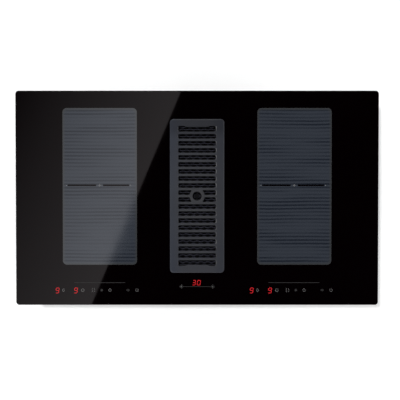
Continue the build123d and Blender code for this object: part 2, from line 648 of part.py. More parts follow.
def make_grille_feet():
    """Rubber feet that carry the grille on the glass, each with a lug down into the opening."""
    inner = VENT_WIDTH / 2 - FOOT_PLAY
    feet = []
    for side in (-1, 1):
        for y in (-VENT_DEPTH / 2 + FOOT_END_MARGIN, 0, VENT_DEPTH / 2 - FOOT_END_MARGIN):
            sole = block(inner - FOOT_LUG, VENT_WIDTH / 2 + GRILLE_OVERLAP / 2,
                         y - FOOT_LENGTH / 2, y + FOOT_LENGTH / 2, GLASS_TOP, GRILLE_BOTTOM)
            sole += block(inner - FOOT_LUG, inner, y - FOOT_LENGTH / 2, y + FOOT_LENGTH / 2,
                          GLASS_TOP - FOOT_LUG_DROP, GLASS_TOP)
            feet.append(Pos(0, VENT_Y, 0) * Rot(0, 0, 0 if side > 0 else 180) * sole)
    return group(feet)


# ---------------------------------------------------------------- coil packs
def coil_centres(side):
    return [(side * ZONE_X, ZONE_Y + end * ZONE_DEPTH / 4) for end in (-1, 1)]


def sensor_holes(side, z0, z1):
    """Clearance holes for the sensors of one side, through a sheet between two heights."""
    return [rod(SENSOR_RADIUS + SENSOR_PLAY, z0 - 1, z1 + 1, x, y)
            for x, y in coil_centres(side)]


def make_mica_sheets():
    """Insulating sheets between the coils and the glass, pierced for the sensors."""
    return group([slab(ZONE_WIDTH, ZONE_DEPTH, MICA_BOTTOM, GLASS_BOTTOM, side * ZONE_X, ZONE_Y)
                  - sensor_holes(side, MICA_BOTTOM, GLASS_BOTTOM) for side in (-1, 1)])


def make_winding(x, y):
    """One flat induction winding of stranded copper, as the ring that it fills."""
    outer = RectangleRounded(COIL_WIDTH, COIL_DEPTH, COIL_CORNER_RADIUS)
    eye = RectangleRounded(COIL_EYE_WIDTH, COIL_EYE_DEPTH, COIL_EYE_RADIUS)
    return Pos(x, y, WINDING_BOTTOM) * extrude(outer - eye, WINDING_THICKNESS)


def make_coil_carriers():
    """Moulded plates that carry the windings."""
    return group([slab(COIL_WIDTH, COIL_DEPTH, CARRIER_BOTTOM, WINDING_BOTTOM, x, y)
                  - sensor_holes(side, CARRIER_BOTTOM, WINDING_BOTTOM)
                  for side in (-1, 1) for x, y in coil_centres(side)])


def make_ferrite_bars():
    """Ferrite bars set like spokes under each winding."""
    length = FERRITE_OUTER - FERRITE_INNER
    bar = Pos(FERRITE_INNER + length / 2, 0, FERRITE_BOTTOM + FERRITE_THICKNESS / 2) * Box(
        length, FERRITE_WIDTH, FERRITE_THICKNESS)
    return group([Pos(x, y, 0) * Rot(0, 0, 360 / FERRITE_BARS * spoke) * bar
                  for side in (-1, 1) for x, y in coil_centres(side)
                  for spoke in range(FERRITE_BARS)])


def coil_post_places(side):
    half_x = ZONE_WIDTH / 2 + COIL_PLATE_MARGIN - POST_INSET
    half_y = ZONE_DEPTH / 2 + COIL_PLATE_MARGIN - POST_INSET
    return [(side * ZONE_X + sx * half_x, ZONE_Y + sy * half_y)
            for sx in (-1, 1) for sy in (-1, 1)]


def make_coil_plate(side):
    """Aluminium plate that shields the electronics and carries one coil pack."""
    plate = slab(ZONE_WIDTH + 2 * COIL_PLATE_MARGIN, ZONE_DEPTH + 2 * COIL_PLATE_MARGIN,
                 COIL_PLATE_BOTTOM, FERRITE_BOTTOM, side * ZONE_X, ZONE_Y)
    return plate - sensor_holes(side, COIL_PLATE_BOTTOM, FERRITE_BOTTOM)


def make_coil_sensors():
    """Spring-loaded temperature sensors in the eye of each winding."""
    places = coil_centres(-1) + coil_centres(1)
    return group([rod(SENSOR_RADIUS, COIL_PLATE_BOTTOM, GLASS_BOTTOM, x, y)
                  for x, y in places])


def make_coil_posts():
    """Moulded posts on the tray floor under the corners of the coil plates."""
    places = coil_post_places(-1) + coil_post_places(1)
    return group([rod(POST_RADIUS, TRAY_FLOOR, TRAY_FLOOR + POST_HEIGHT, x, y)
                  for x, y in places])


def make_coil_springs():
    """Springs that press the coil packs up against the glass, as plain sleeves."""
    places = coil_post_places(-1) + coil_post_places(1)
    low = TRAY_FLOOR + POST_HEIGHT
    sleeve = rod(SPRING_RADIUS, low, COIL_PLATE_BOTTOM)
    sleeve -= rod(SPRING_RADIUS - SPRING_WALL, low - 1, COIL_PLATE_BOTTOM + 1)
    return group([Pos(x, y, 0) * sleeve for x, y in places])


# ---------------------------------------------------------------- electronics in the tray
def make_power_board(side):
    return slab(BOARD_WIDTH, BOARD_DEPTH, BOARD_BOTTOM, BOARD_TOP, side * ZONE_X, ZONE_Y)


def make_standoffs():
    """Snap pillars under the power boards and the mains filter board."""
    half_x = BOARD_WIDTH / 2 - STANDOFF_INSET
    half_y = BOARD_DEPTH / 2 - STANDOFF_INSET
    places = [(side * ZONE_X + sx * half_x, ZONE_Y + sy * half_y)
              for side in (-1, 1) for sx in (-1, 1) for sy in (-1, 1)]
    x, y = filter_board_centre()
    places += [(x, y + sy * (FILTER_BOARD_DEPTH / 2 - STANDOFF_INSET)) for sy in (-1, 1)]
    return group([rod(STANDOFF_RADIUS, TRAY_FLOOR, BOARD_BOTTOM, px, py) for px, py in places])


def make_heatsinks():
    """An extruded aluminium heatsink on each power board, its fins along the air stream."""
    profile = Pos(0, HEATSINK_BASE / 2) * Rectangle(HEATSINK_WIDTH, HEATSINK_BASE)
    spacing = (HEATSINK_WIDTH - FIN_THICKNESS) / (HEATSINK_FINS - 1)
    profile += [Pos((FIN_THICKNESS - HEATSINK_WIDTH) / 2 + fin * spacing, HEATSINK_HEIGHT / 2)
                * Rectangle(FIN_THICKNESS, HEATSINK_HEIGHT) for fin in range(HEATSINK_FINS)]
    body = extrude(Plane.XZ * profile, HEATSINK_DEPTH / 2, both=True)
    return group([Pos(side * (ZONE_X - BOARD_WIDTH / 4), ZONE_Y, BOARD_TOP) * body
                  for side in (-1, 1)])


def make_board_components():
    """Film capacitors, bulk capacitors, choke and relays on each power board."""
    film = slab(FILM_CAP_LENGTH, FILM_CAP_WIDTH, BOARD_TOP, BOARD_TOP + FILM_CAP_HEIGHT)
    bulk = rod(BULK_CAP_RADIUS, BOARD_TOP, BOARD_TOP + BULK_CAP_HEIGHT)
    choke = rod(CHOKE_RADIUS, BOARD_TOP, BOARD_TOP + CHOKE_HEIGHT)
    choke -= rod(CHOKE_RADIUS / 2, BOARD_TOP - 1, BOARD_TOP + CHOKE_HEIGHT + 1)
    relay = slab(RELAY_LENGTH, RELAY_WIDTH, BOARD_TOP, BOARD_TOP + RELAY_HEIGHT)
    step = COMPONENT_PITCH
    row = [(film, -5 * step), (film, -4 * step), (film, -3 * step), (bulk, -2 * step),
           (bulk, -step), (choke, step / 2), (relay, 2 * step), (relay, 3 * step),
           (relay, 4 * step)]
    return group([Pos(side * (ZONE_X + BOARD_WIDTH / 4), ZONE_Y + y, 0) * part
                  for side in (-1, 1) for part, y in row])


def filter_board_centre():
    return (FILTER_BOARD_MARGIN + FILTER_BOARD_WIDTH / 2 - TRAY_INSIDE_X,
            ZONE_Y + FILTER_BOARD_DEPTH)


def make_mains_filter():
    """Mains interference filter: board, choke and capacitor soldered into one piece."""
    x, y = filter_board_centre()
    board = slab(FILTER_BOARD_WIDTH, FILTER_BOARD_DEPTH, BOARD_BOTTOM, BOARD_TOP, x, y)
    board += rod(CHOKE_RADIUS, BOARD_TOP, BOARD_TOP + CHOKE_HEIGHT, x, y + COMPONENT_PITCH)
    return board + slab(FILM_CAP_LENGTH, FILM_CAP_WIDTH, BOARD_TOP, BOARD_TOP + FILM_CAP_HEIGHT,
                        x, y - COMPONENT_PITCH)


def make_cooling_fan(side):
    """Frame of a small axial fan that blows tray air over the heatsinks."""
    body = extrude(Rectangle(COOLING_FAN_SIDE, COOLING_FAN_SIDE) - Circle(COOLING_FAN_BORE),
                   COOLING_FAN_HEIGHT)
    body += extrude(Circle(COOLING_HUB_RADIUS), COOLING_STRUT)
    body += [Rot(0, 0, turn) * Pos(0, 0, COOLING_STRUT / 2)
             * Box(2 * COOLING_FAN_BORE + 2 * COOLING_STRUT, 2 * COOLING_STRUT, COOLING_STRUT)
             for turn in (45, 135)]
    body += extrude(Circle(COOLING_PIN_RADIUS), COOLING_PIN_HEIGHT)
    return Pos(side * COOLING_FAN_X, COOLING_FAN_Y, TRAY_FLOOR) * body


def make_cooling_rotor(side):
    """Rotor of that fan: a cup with pitched blades, turning on the frame's pin."""
    low = COOLING_STRUT + 1
    height = COOLING_FAN_HEIGHT - COOLING_TIP_GAP - low
    tip = COOLING_FAN_BORE - COOLING_TIP_GAP
    blade = Pos((COOLING_HUB_RADIUS + tip) / 2 - 1, 0, height / 2) * Rot(
        COOLING_PITCH_DEG, 0, 0) * Box(tip - COOLING_HUB_RADIUS + 2, COOLING_BLADE_CHORD,
                                       COOLING_BLADE_THICKNESS)
    rotor = extrude(Circle(COOLING_HUB_RADIUS), height)
    rotor += [Rot(0, 0, 360 / COOLING_BLADES * k) * blade for k in range(COOLING_BLADES)]
    rotor &= extrude(Circle(tip), height)
    rotor -= extrude(Circle(COOLING_PIN_RADIUS + SHAFT_PLAY), COOLING_PIN_HEIGHT - low + 1)
    return Pos(side * COOLING_FAN_X, COOLING_FAN_Y, TRAY_FLOOR + low) * rotor


# ---------------------------------------------------------------- touch controls
def control_groups():
    """(centre x, width) of the three control boards."""
    return [(-ZONE_X + SIDE_CONTROL_SHIFT, SIDE_CONTROL_WIDTH), (0, MIDDLE_CONTROL_WIDTH),
            (ZONE_X + SIDE_CONTROL_SHIFT, SIDE_CONTROL_WIDTH)]


def digit_places():
    """Centres of the seven-segment modules: two per side board, two in the middle."""
    places = [(side * ZONE_X + SIDE_CONTROL_SHIFT + offset, CONTROL_Y + SYMBOL_ROW)
              for side in (-1, 1) for offset in LEVEL_DIGIT_OFFSETS]
    return places + [(side * TIMER_DIGIT_OFFSET, CONTROL_Y + SLIDER_ROW) for side in (-1, 1)]


def touch_places():
    """Centres of the touch contacts under the printed symbols and sliders."""
    places = []
    for side in (-1, 1):
        x = side * ZONE_X + SIDE_CONTROL_SHIFT
        places += [(x + offset, CONTROL_Y + SYMBOL_ROW) for offset in SYMBOL_OFFSETS]
        places += [(x + SLIDER_START + k * SLIDER_PITCH, CONTROL_Y + SLIDER_ROW)
                   for k in range(SLIDER_CONTACTS)]
        places += [(side * TIMER_SYMBOL_OFFSET, CONTROL_Y),
                   (side * TIMER_SYMBOL_OFFSET / 3, CONTROL_Y + SYMBOL_ROW)]
    return places


def make_control_boards():
    return group([slab(width, CONTROL_DEPTH, CONTROL_BOARD_TOP - BOARD_THICKNESS,
                       CONTROL_BOARD_TOP, x, CONTROL_Y) for x, width in control_groups()])


def make_control_holders():
    """Moulded troughs on two legs each, which hold the touch boards up under the glass."""
    low = CONTROL_BOARD_TOP - BOARD_THICKNESS
    troughs = []
    for x, width in control_groups():
        outer_width = width + 2 * HOLDER_WALL
        outer_depth = CONTROL_DEPTH + 2 * HOLDER_WALL
        trough = slab(outer_width, outer_depth, low - HOLDER_SINK, CONTROL_BOARD_TOP + 1,
                      x, CONTROL_Y)
        trough -= slab(width + 2 * PANEL_PLAY, CONTROL_DEPTH + 2 * PANEL_PLAY, low,
                       CONTROL_BOARD_TOP + 2, x, CONTROL_Y)
        trough -= slab(width - 2 * HOLDER_WALL, CONTROL_DEPTH - 2 * HOLDER_WALL,
                       low - HOLDER_SINK + HOLDER_WALL, low + 1, x, CONTROL_Y)
        for side in (-1, 1):
            leg_x = x + side * (outer_width - HOLDER_WALL) / 2
            trough += slab(HOLDER_WALL, outer_depth, TRAY_FLOOR, low - HOLDER_SINK,
                           leg_x, CONTROL_Y)
        troughs.append(trough)
    return group(troughs)


def make_digit_modules():
    return group([slab(DIGIT_WIDTH, DIGIT_DEPTH, CONTROL_BOARD_TOP, GLASS_BOTTOM - DIGIT_GAP,
                       x, y) for x, y in digit_places()])


def make_touch_contacts():
    """Conductive foam blocks between the touch boards and the glass."""
    return group([slab(PAD_SIDE, PAD_SIDE, CONTROL_BOARD_TOP, GLASS_BOTTOM, x, y)
                  for x, y in touch_places()])


# ---------------------------------------------------------------- terminal box
def terminal_centre():
    return (-(TRAY_WIDTH / 2 - TERMINAL_SIDE_MARGIN - TERMINAL_WIDTH / 2),
            TRAY_DEPTH / 2 - TERMINAL_REAR_MARGIN - TERMINAL_DEPTH / 2)


def terminal_hinge():
    """(y, z) of the lid's hinge axis, along the box's front lower edge."""
    y = terminal_centre()[1] - TERMINAL_DEPTH / 2 - LID_PIN_RADIUS - LID_BARREL_GAP
    return y, TRAY_BOTTOM - TERMINAL_HEIGHT + LID_PIN_RISE


def lid_ear_reach():
    """Distance from the lid's middle to the inner face of each hinge ear."""
    return TERMINAL_WIDTH / 2 - LID_EAR_INSET - LID_EAR_WIDTH


def wire_hole():
    """The round hole that joins the terminal box to the inside of the tray."""
    x, y = terminal_centre()
    return rod(WIRE_HOLE_RADIUS, TRAY_BOTTOM - 1, TRAY_FLOOR + 1, x, y - TERMINAL_DEPTH / 4)


def terminal_screw_places():
    """Centres of the screws through the box's two lugs into the tray's bottom."""
    x, y = terminal_centre()
    reach = (TERMINAL_WIDTH + TERMINAL_LUG) / 2
    return [(x - reach, y), (x + reach, y)]


def make_terminal_box():
    """Four walls under the tray, whose bottom closes them, with lugs and hinge ears."""
    x, y = terminal_centre()
    low = TRAY_BOTTOM - TERMINAL_HEIGHT
    wall_y = y - TERMINAL_DEPTH / 2
    box = slab(TERMINAL_WIDTH, TERMINAL_DEPTH, low, TRAY_BOTTOM, x, y, TERMINAL_CORNER_RADIUS)
    box += slab(TERMINAL_WIDTH + 2 * TERMINAL_LUG, TERMINAL_LUG, TRAY_BOTTOM - TERMINAL_WALL,
                TRAY_BOTTOM, x, y)
    box -= slab(TERMINAL_WIDTH - 2 * TERMINAL_WALL, TERMINAL_DEPTH - 2 * TERMINAL_WALL,
                low - 1, TRAY_BOTTOM + 1, x, y, TERMINAL_CORNER_RADIUS - TERMINAL_WALL)
    box -= [rod(SCREW_RADIUS, TRAY_BOTTOM - 2 * TERMINAL_WALL, TRAY_BOTTOM + 1, *place)
            for place in terminal_screw_places()]
    box -= Pos(x, y + TERMINAL_DEPTH / 2, low + TERMINAL_HEIGHT / 2) * Rot(90, 0, 0) * Cylinder(
        GROMMET_RADIUS - GROMMET_LIP, 4 * TERMINAL_WALL)
    hinge_y, hinge_z = terminal_hinge()
    barrel = LID_PIN_RADIUS + LID_BARREL_WALL
    ear = block(-LID_EAR_WIDTH / 2, LID_EAR_WIDTH / 2, hinge_y - barrel, wall_y + 1,
                hinge_z - LID_PIN_RISE, hinge_z + LID_EAR_HEIGHT)
    ear += Pos(0, hinge_y, hinge_z) * Rot(0, 90, 0) * Cylinder(barrel, LID_EAR_WIDTH)
    ear -= Pos(0, hinge_y, hinge_z) * Rot(0, 90, 0) * Cylinder(
        LID_PIN_RADIUS + LID_PIN_PLAY, 2 * LID_EAR_WIDTH)
    ear_x = lid_ear_reach() + LID_EAR_WIDTH / 2
    return box + [Pos(x + side * ear_x, 0, 0) * ear for side in (-1, 1)]


def make_terminal_lid():
    """Hinged lid under the box, swinging down on two moulded pins."""
    x, y = terminal_centre()
    top = TRAY_BOTTOM - TERMINAL_HEIGHT - LID_GAP
    low = top - LID_THICKNESS
    hinge_y, hinge_z = terminal_hinge()
    arm = lid_ear_reach() - LID_SIDE_PLAY
    lid = slab(TERMINAL_WIDTH, TERMINAL_DEPTH, low, top, x, y, TERMINAL_CORNER_RADIUS)
    lid += block(x - arm, x + arm, hinge_y, y, low, top)
    lid += block(x - arm, x + arm, hinge_y - LID_PIN_RADIUS, hinge_y + LID_PIN_RADIUS,
                 low, hinge_z)
    return lid + Pos(x, hinge_y, hinge_z) * Rot(0, 90, 0) * Cylinder(
        LID_PIN_RADIUS, 2 * lid_ear_reach() + 2 * LID_EAR_WIDTH - 1)


def make_terminal_block():
    """Connection block with a clamp-screw well and a wire way for each pole."""
    x, y = terminal_centre()
    top = TRAY_BOTTOM
    block_y = y + TERMINAL_DEPTH / 8
    body = slab(TERMINAL_POLES * POLE_PITCH, POLE_DEPTH, top - POLE_HEIGHT, top, x, block_y)
    for pole in range(TERMINAL_POLES):
        pole_x = x + (pole - (TERMINAL_POLES - 1) / 2) * POLE_PITCH
        body -= rod(POLE_WELL_RADIUS, top - POLE_HEIGHT - 1, top - POLE_HEIGHT / 2,
                    pole_x, block_y)
        body -= Pos(pole_x, block_y, top - POLE_HEIGHT / 3) * Box(
            POLE_WIRE_WAY, 2 * POLE_DEPTH, POLE_WIRE_WAY)
    return body


def make_cable_grommet():
    """Rubber grommet in the box's rear wall, where the mains lead goes in."""
    x, y = terminal_centre()
    end = GROMMET_LENGTH / 2
    groove = TERMINAL_WALL / 2
    profile = Polyline((GROMMET_BORE_RADIUS, -end), (GROMMET_RADIUS, -end),
                       (GROMMET_RADIUS, -groove), (GROMMET_RADIUS - GROMMET_LIP, -groove),
                       (GROMMET_RADIUS - GROMMET_LIP, groove), (GROMMET_RADIUS, groove),
                       (GROMMET_RADIUS - GROMMET_LIP / 2, end), (GROMMET_BORE_RADIUS, end),
                       close=True)
    ring = revolve(Plane.XZ * make_face(profile), Axis.Z)
    wall_middle = y + (TERMINAL_DEPTH - TERMINAL_WALL) / 2
    return Pos(x, wall_middle, TRAY_BOTTOM - TERMINAL_HEIGHT / 2) * Rot(-90, 0, 0) * ring


# ---------------------------------------------------------------- fan box
def flange_screw_places():
    """Centres of the screws that hold the fan box's flange to the tray."""
    x = FAN_BOX_HALF_WIDTH + FAN_BOX_FLANGE / 2
    middle = (FAN_BOX_FRONT + FAN_BOX_REAR) / 2
    rows = (FAN_BOX_FRONT + FLANGE_SCREW_INSET, middle, FAN_BOX_REAR - FLANGE_SCREW_INSET)
    return [(side * x, y) for side in (-1, 1) for y in rows]


def outlet_screw_places():
    """(x, z) of the screws through the fan box's rear wall into the outlet's ears."""
    reach = (SPIGOT_WIDTH + OUTLET_EAR) / 2
    return [(SPIGOT_X + sx * reach, SPIGOT_Z + sz * OUTLET_EAR_HEIGHT / 3)
            for sx in (-1, 1) for sz in (-1, 1)]


def make_fan_box():
    """Folded steel box under the tray that holds the blower and the overflow drawer."""
    middle = (FAN_BOX_FRONT + FAN_BOX_REAR) / 2
    depth = FAN_BOX_REAR - FAN_BOX_FRONT
    box = slab(2 * FAN_BOX_HALF_WIDTH, depth, FAN_BOX_BOTTOM, TRAY_BOTTOM, 0, middle,
               FAN_BOX_CORNER_RADIUS)
    box += slab(2 * (FAN_BOX_HALF_WIDTH + FAN_BOX_FLANGE), depth + 2 * FAN_BOX_FLANGE,
                TRAY_BOTTOM - FAN_BOX_SHEET, TRAY_BOTTOM, 0, middle)
    box -= slab(2 * (FAN_BOX_HALF_WIDTH - FAN_BOX_SHEET), depth - 2 * FAN_BOX_SHEET,
                FAN_BOX_FLOOR, TRAY_BOTTOM + 1, 0, middle, FAN_BOX_CORNER_RADIUS - FAN_BOX_SHEET)
    half = DRAWER_WIDTH / 2 + DRAWER_PLAY
    spigot_half = SPIGOT_WIDTH / 2 + SLEEVE_PLAY
    spigot_rise = SPIGOT_HEIGHT / 2 + SLEEVE_PLAY
    cuts = [block(-half, half, FAN_BOX_FRONT - 1, FAN_BOX_FRONT + 2 * FAN_BOX_SHEET,
                  FAN_BOX_FLOOR, FAN_BOX_FLOOR + DRAWER_HEIGHT + 2 * DRAWER_PLAY),
            block(SPIGOT_X - spigot_half, SPIGOT_X + spigot_half,
                  FAN_BOX_REAR - 2 * FAN_BOX_SHEET, FAN_BOX_REAR + 1,
                  SPIGOT_Z - spigot_rise, SPIGOT_Z + spigot_rise)]
    cuts += [rod(SCREW_RADIUS, TRAY_BOTTOM - 2 * FAN_BOX_SHEET, TRAY_BOTTOM + 1, x, y)
             for x, y in flange_screw_places()]
    cuts += [Pos(x, FAN_BOX_REAR, z) * Rot(90, 0, 0) * Cylinder(SCREW_RADIUS, 4 * FAN_BOX_SHEET)
             for x, z in outlet_screw_places()]
    return box - cuts


def make_driver_housing():
    """Closed housing of the blower's motor driver, flat against the fan box's right wall."""
    wall = FAN_BOX_HALF_WIDTH - FAN_BOX_SHEET
    housing = block(wall - DRIVER_DEPTH, wall, BLOWER_Y - DRIVER_LENGTH,
                    BLOWER_Y, SPIGOT_Z - DRIVER_HEIGHT / 2, SPIGOT_Z + DRIVER_HEIGHT / 2)
    return fillet(housing.faces().sort_by(Axis.X)[0].edges(), DRIVER_EDGE_ROUND)


# ---------------------------------------------------------------- blower
def scroll_outline(offset=0.0):
    """Plan of the scroll: arcs of growing radius from the tongue, then the straight channel."""
    low = -SPIRAL_STEP / 2
    high = SPIRAL_STEP / 2
    first = SPIRAL_RADIUS + offset
    second = first + SPIRAL_STEP
    third = second + SPIRAL_STEP
    half = math.sqrt(0.5)
    exit_y = SCROLL_EXIT_Y - BLOWER_Y
    tongue_x = SPIRAL_RADIUS * math.cos(math.radians(TONGUE_ANGLE_DEG)) - offset
    start = (low + tongue_x, low + math.sqrt(first ** 2 - tongue_x ** 2))
    turn = (math.atan2(start[1] - low, tongue_x) + math.pi / 2) / 2
    crown = (low + first * math.cos(turn), low + first * math.sin(turn))
    return make_face([
        ThreePointArc(start, crown, (low, low + first)),
        ThreePointArc((low, low + first), (low - first * half, low + first * half),
                      (low - first, low)),
        ThreePointArc((low - first, low), (high - second * half, low - second * half),
                      (high, low - second)),
        ThreePointArc((high, low - second), (high + third * half, high - third * half),
                      (high + third, high)),
        Line((high + third, high), (high + third, exit_y)),
        Line((high + third, exit_y), (start[0], exit_y)),
        Line((start[0], exit_y), start),
    ])


def scroll_rim(z0, z1):
    """Flange round the joint of the two mouldings, stopping short of the outlet's sleeve."""
    rim = scroll_outline(SCROLL_WALL + SCROLL_FLANGE) - scroll_outline(SCROLL_WALL / 2)
    reach = 2 * SPIRAL_RADIUS
    end = SCROLL_EXIT_Y - BLOWER_Y - SLEEVE_LENGTH - 2 * SCROLL_WALL
    return Pos(0, 0, z0) * extrude(rim, z1 - z0) - [
        block(-SPIRAL_STEP / 2, reach, end, reach, z0 - 1, z1 + 1)]


def make_scroll_lower():
    """Lower moulding of the scroll: floor, spiral wall and half of the joint flange."""
    joint = SCROLL_HEIGHT - SCROLL_LIP_HEIGHT
    shell = extrude(scroll_outline(SCROLL_WALL), joint)
    shell -= Pos(0, 0, SCROLL_WALL) * extrude(scroll_outline(), SCROLL_HEIGHT)
    shell += scroll_rim(joint - SCROLL_FLANGE_THICKNESS, joint)
    return Pos(BLOWER_X, BLOWER_Y, SCROLL_BOTTOM) * shell


def make_scroll_upper():
    """Upper moulding of the scroll: lid, top of the wall and the flared inlet."""
    joint = SCROLL_HEIGHT - SCROLL_LIP_HEIGHT
    roof = SCROLL_HEIGHT - SCROLL_WALL
    half = math.sqrt(0.5)
    cap = Pos(0, 0, joint) * extrude(scroll_outline(SCROLL_WALL), SCROLL_LIP_HEIGHT)
    cap -= Pos(0, 0, joint - 1) * extrude(scroll_outline(), roof - joint + 1)
    cap += scroll_rim(joint, joint + SCROLL_FLANGE_THICKNESS)
    cap -= Pos(0, 0, SCROLL_HEIGHT) * Cylinder(INLET_RADIUS + SCROLL_WALL / 2, 4 * SCROLL_WALL)
    flare = make_face([
        Line((INLET_RADIUS, roof - INLET_NECK), (INLET_RADIUS, SCROLL_HEIGHT)),
        ThreePointArc((INLET_RADIUS, SCROLL_HEIGHT),
                      (INLET_RADIUS + INLET_LIP_HEIGHT * (1 - half),
                       SCROLL_HEIGHT + INLET_LIP_HEIGHT * half),
                      (INLET_RADIUS + INLET_LIP_HEIGHT, SCROLL_HEIGHT + INLET_LIP_HEIGHT)),
        Line((INLET_RADIUS + INLET_LIP_HEIGHT, SCROLL_HEIGHT + INLET_LIP_HEIGHT),
             (INLET_RADIUS + INLET_LIP_HEIGHT, SCROLL_HEIGHT + INLET_LIP_HEIGHT - SCROLL_WALL)),
        Line((INLET_RADIUS + INLET_LIP_HEIGHT, SCROLL_HEIGHT + INLET_LIP_HEIGHT - SCROLL_WALL),
             (INLET_RADIUS + SCROLL_WALL, roof)),
        Line((INLET_RADIUS + SCROLL_WALL, roof), (INLET_RADIUS + SCROLL_WALL, roof - INLET_NECK)),
        Line((INLET_RADIUS + SCROLL_WALL, roof - INLET_NECK), (INLET_RADIUS, roof - INLET_NECK)),
    ])
    cap += revolve(Plane.XZ * flare, Axis.Z)
    return Pos(BLOWER_X, BLOWER_Y, SCROLL_BOTTOM) * cap


def blade_profile():
    """One forward-curved blade, seen from above: a thin arc from the eye to the rim."""
    inner = WHEEL_RADIUS - BLADE_CHORD
    outer = WHEEL_RADIUS - BLADE_THICKNESS / 2
    middle = (inner + outer) / 2
    bow = BLADE_CHORD / 3
    tip = BLADE_CHORD / 9
    thick = BLADE_THICKNESS
    return make_face([
        ThreePointArc((inner, 0), (middle, -bow), (outer, tip)),
        Line((outer, tip), (outer, tip + thick)),
        ThreePointArc((outer, tip + thick), (middle, thick - bow), (inner, thick)),
        Line((inner, thick), (inner, 0)),
    ])


def wheel_web():
    """Section of the wheel's back: hub, dome over the motor and the flat disc."""
    hub = WHEEL_HUB_RADIUS
    hub_low = MOTOR_HEIGHT + MOTOR_CLEARANCE + WHEEL_DISC
    hub_top = hub_low + WHEEL_HUB_HEIGHT
    shoulder = MOTOR_RADIUS + MOTOR_CLEARANCE
    shoulder_z = MOTOR_HEIGHT + MOTOR_CLEARANCE
    foot = shoulder + 2 * WHEEL_DISC
    return Polyline(
        (SHAFT_RADIUS, hub_low), (hub, hub_low), (shoulder, shoulder_z), (foot, 0),
        (WHEEL_RADIUS, 0), (WHEEL_RADIUS, WHEEL_DISC), (foot + WHEEL_DISC, WHEEL_DISC),
        (shoulder + WHEEL_DISC, shoulder_z + WHEEL_DISC), (hub, hub_low + WHEEL_DISC),
        (hub, hub_top), (SHAFT_RADIUS, hub_top), close=True)


def make_blower_wheel():
    """The wheel's domed back over the motor, and the stiffening ring at its open side."""
    back = revolve(Plane.XZ * make_face(wheel_web()), Axis.Z)
    ring = Circle(WHEEL_RADIUS) - Circle(WHEEL_RADIUS - BLADE_CHORD / 3)
    ring = Pos(0, 0, WHEEL_HEIGHT - WHEEL_RING) * extrude(ring, WHEEL_RING)
    return Pos(BLOWER_X, BLOWER_Y, WHEEL_BOTTOM) * group([back, ring])


def make_wheel_blades():
    """The cage of blades, welded between the wheel's disc and its ring."""
    height = WHEEL_HEIGHT - WHEEL_RING - WHEEL_DISC
    blade = Pos(0, 0, WHEEL_DISC) * extrude(blade_profile(), height)
    return Pos(BLOWER_X, BLOWER_Y, WHEEL_BOTTOM) * group(
        [Rot(0, 0, 360 / WHEEL_BLADES * k) * blade for k in range(WHEEL_BLADES)])


def motor_top():
    return WHEEL_BOTTOM + MOTOR_HEIGHT


def make_fan_motor():
    """Motor on the scroll's floor: a round can with a bearing seat at each end."""
    can = rod(MOTOR_RADIUS, CHANNEL_LOW, motor_top())
    can = fillet(can.faces().sort_by(Axis.Z)[-1].edges(), MOTOR_ROUND)
    can -= rod(BEARING_RADIUS, CHANNEL_LOW - 1, CHANNEL_LOW + BEARING_HEIGHT)
    can -= rod(BEARING_RADIUS, motor_top() - BEARING_HEIGHT, motor_top() + 1)
    can -= rod(SHAFT_RADIUS + SHAFT_TUNNEL_GAP, CHANNEL_LOW, motor_top())
    return Pos(BLOWER_X, BLOWER_Y, 0) * can


def make_motor_bearings():
    bearings = [rod(BEARING_RADIUS, z, z + BEARING_HEIGHT)
                - rod(SHAFT_RADIUS + SHAFT_PLAY, z - 1, z + BEARING_HEIGHT + 1)
                for z in (CHANNEL_LOW, motor_top() - BEARING_HEIGHT)]
    return Pos(BLOWER_X, BLOWER_Y, 0) * group(bearings)


def make_motor_shaft():
    """Shaft fixed in the wheel's hub and running in the two bearings."""
    hub_top = motor_top() + MOTOR_CLEARANCE + WHEEL_DISC + WHEEL_HUB_HEIGHT
    return rod(SHAFT_RADIUS, CHANNEL_LOW + SHAFT_END_GAP, hub_top + SHAFT_END_GAP,
               BLOWER_X, BLOWER_Y)


def make_blower_bushes():
    """Rubber bushes between the scroll and the fan box's floor."""
    reach = SPIRAL_RADIUS * BUSH_REACH
    return group([rod(BUSH_RADIUS, FAN_BOX_FLOOR, SCROLL_BOTTOM,
                      BLOWER_X + sx * reach, BLOWER_Y + sy * reach)
                  for sx in (-1, 1) for sy in (-1, 1)])


# ---------------------------------------------------------------- outlet and its shutters
def across(y, width, height):
    """A rectangle across the air stream, centred on the spigot's axis."""
    plane = Plane(origin=(SPIGOT_X, y, SPIGOT_Z), x_dir=(1, 0, 0), z_dir=(0, 1, 0))
    return plane * Rectangle(width, height)


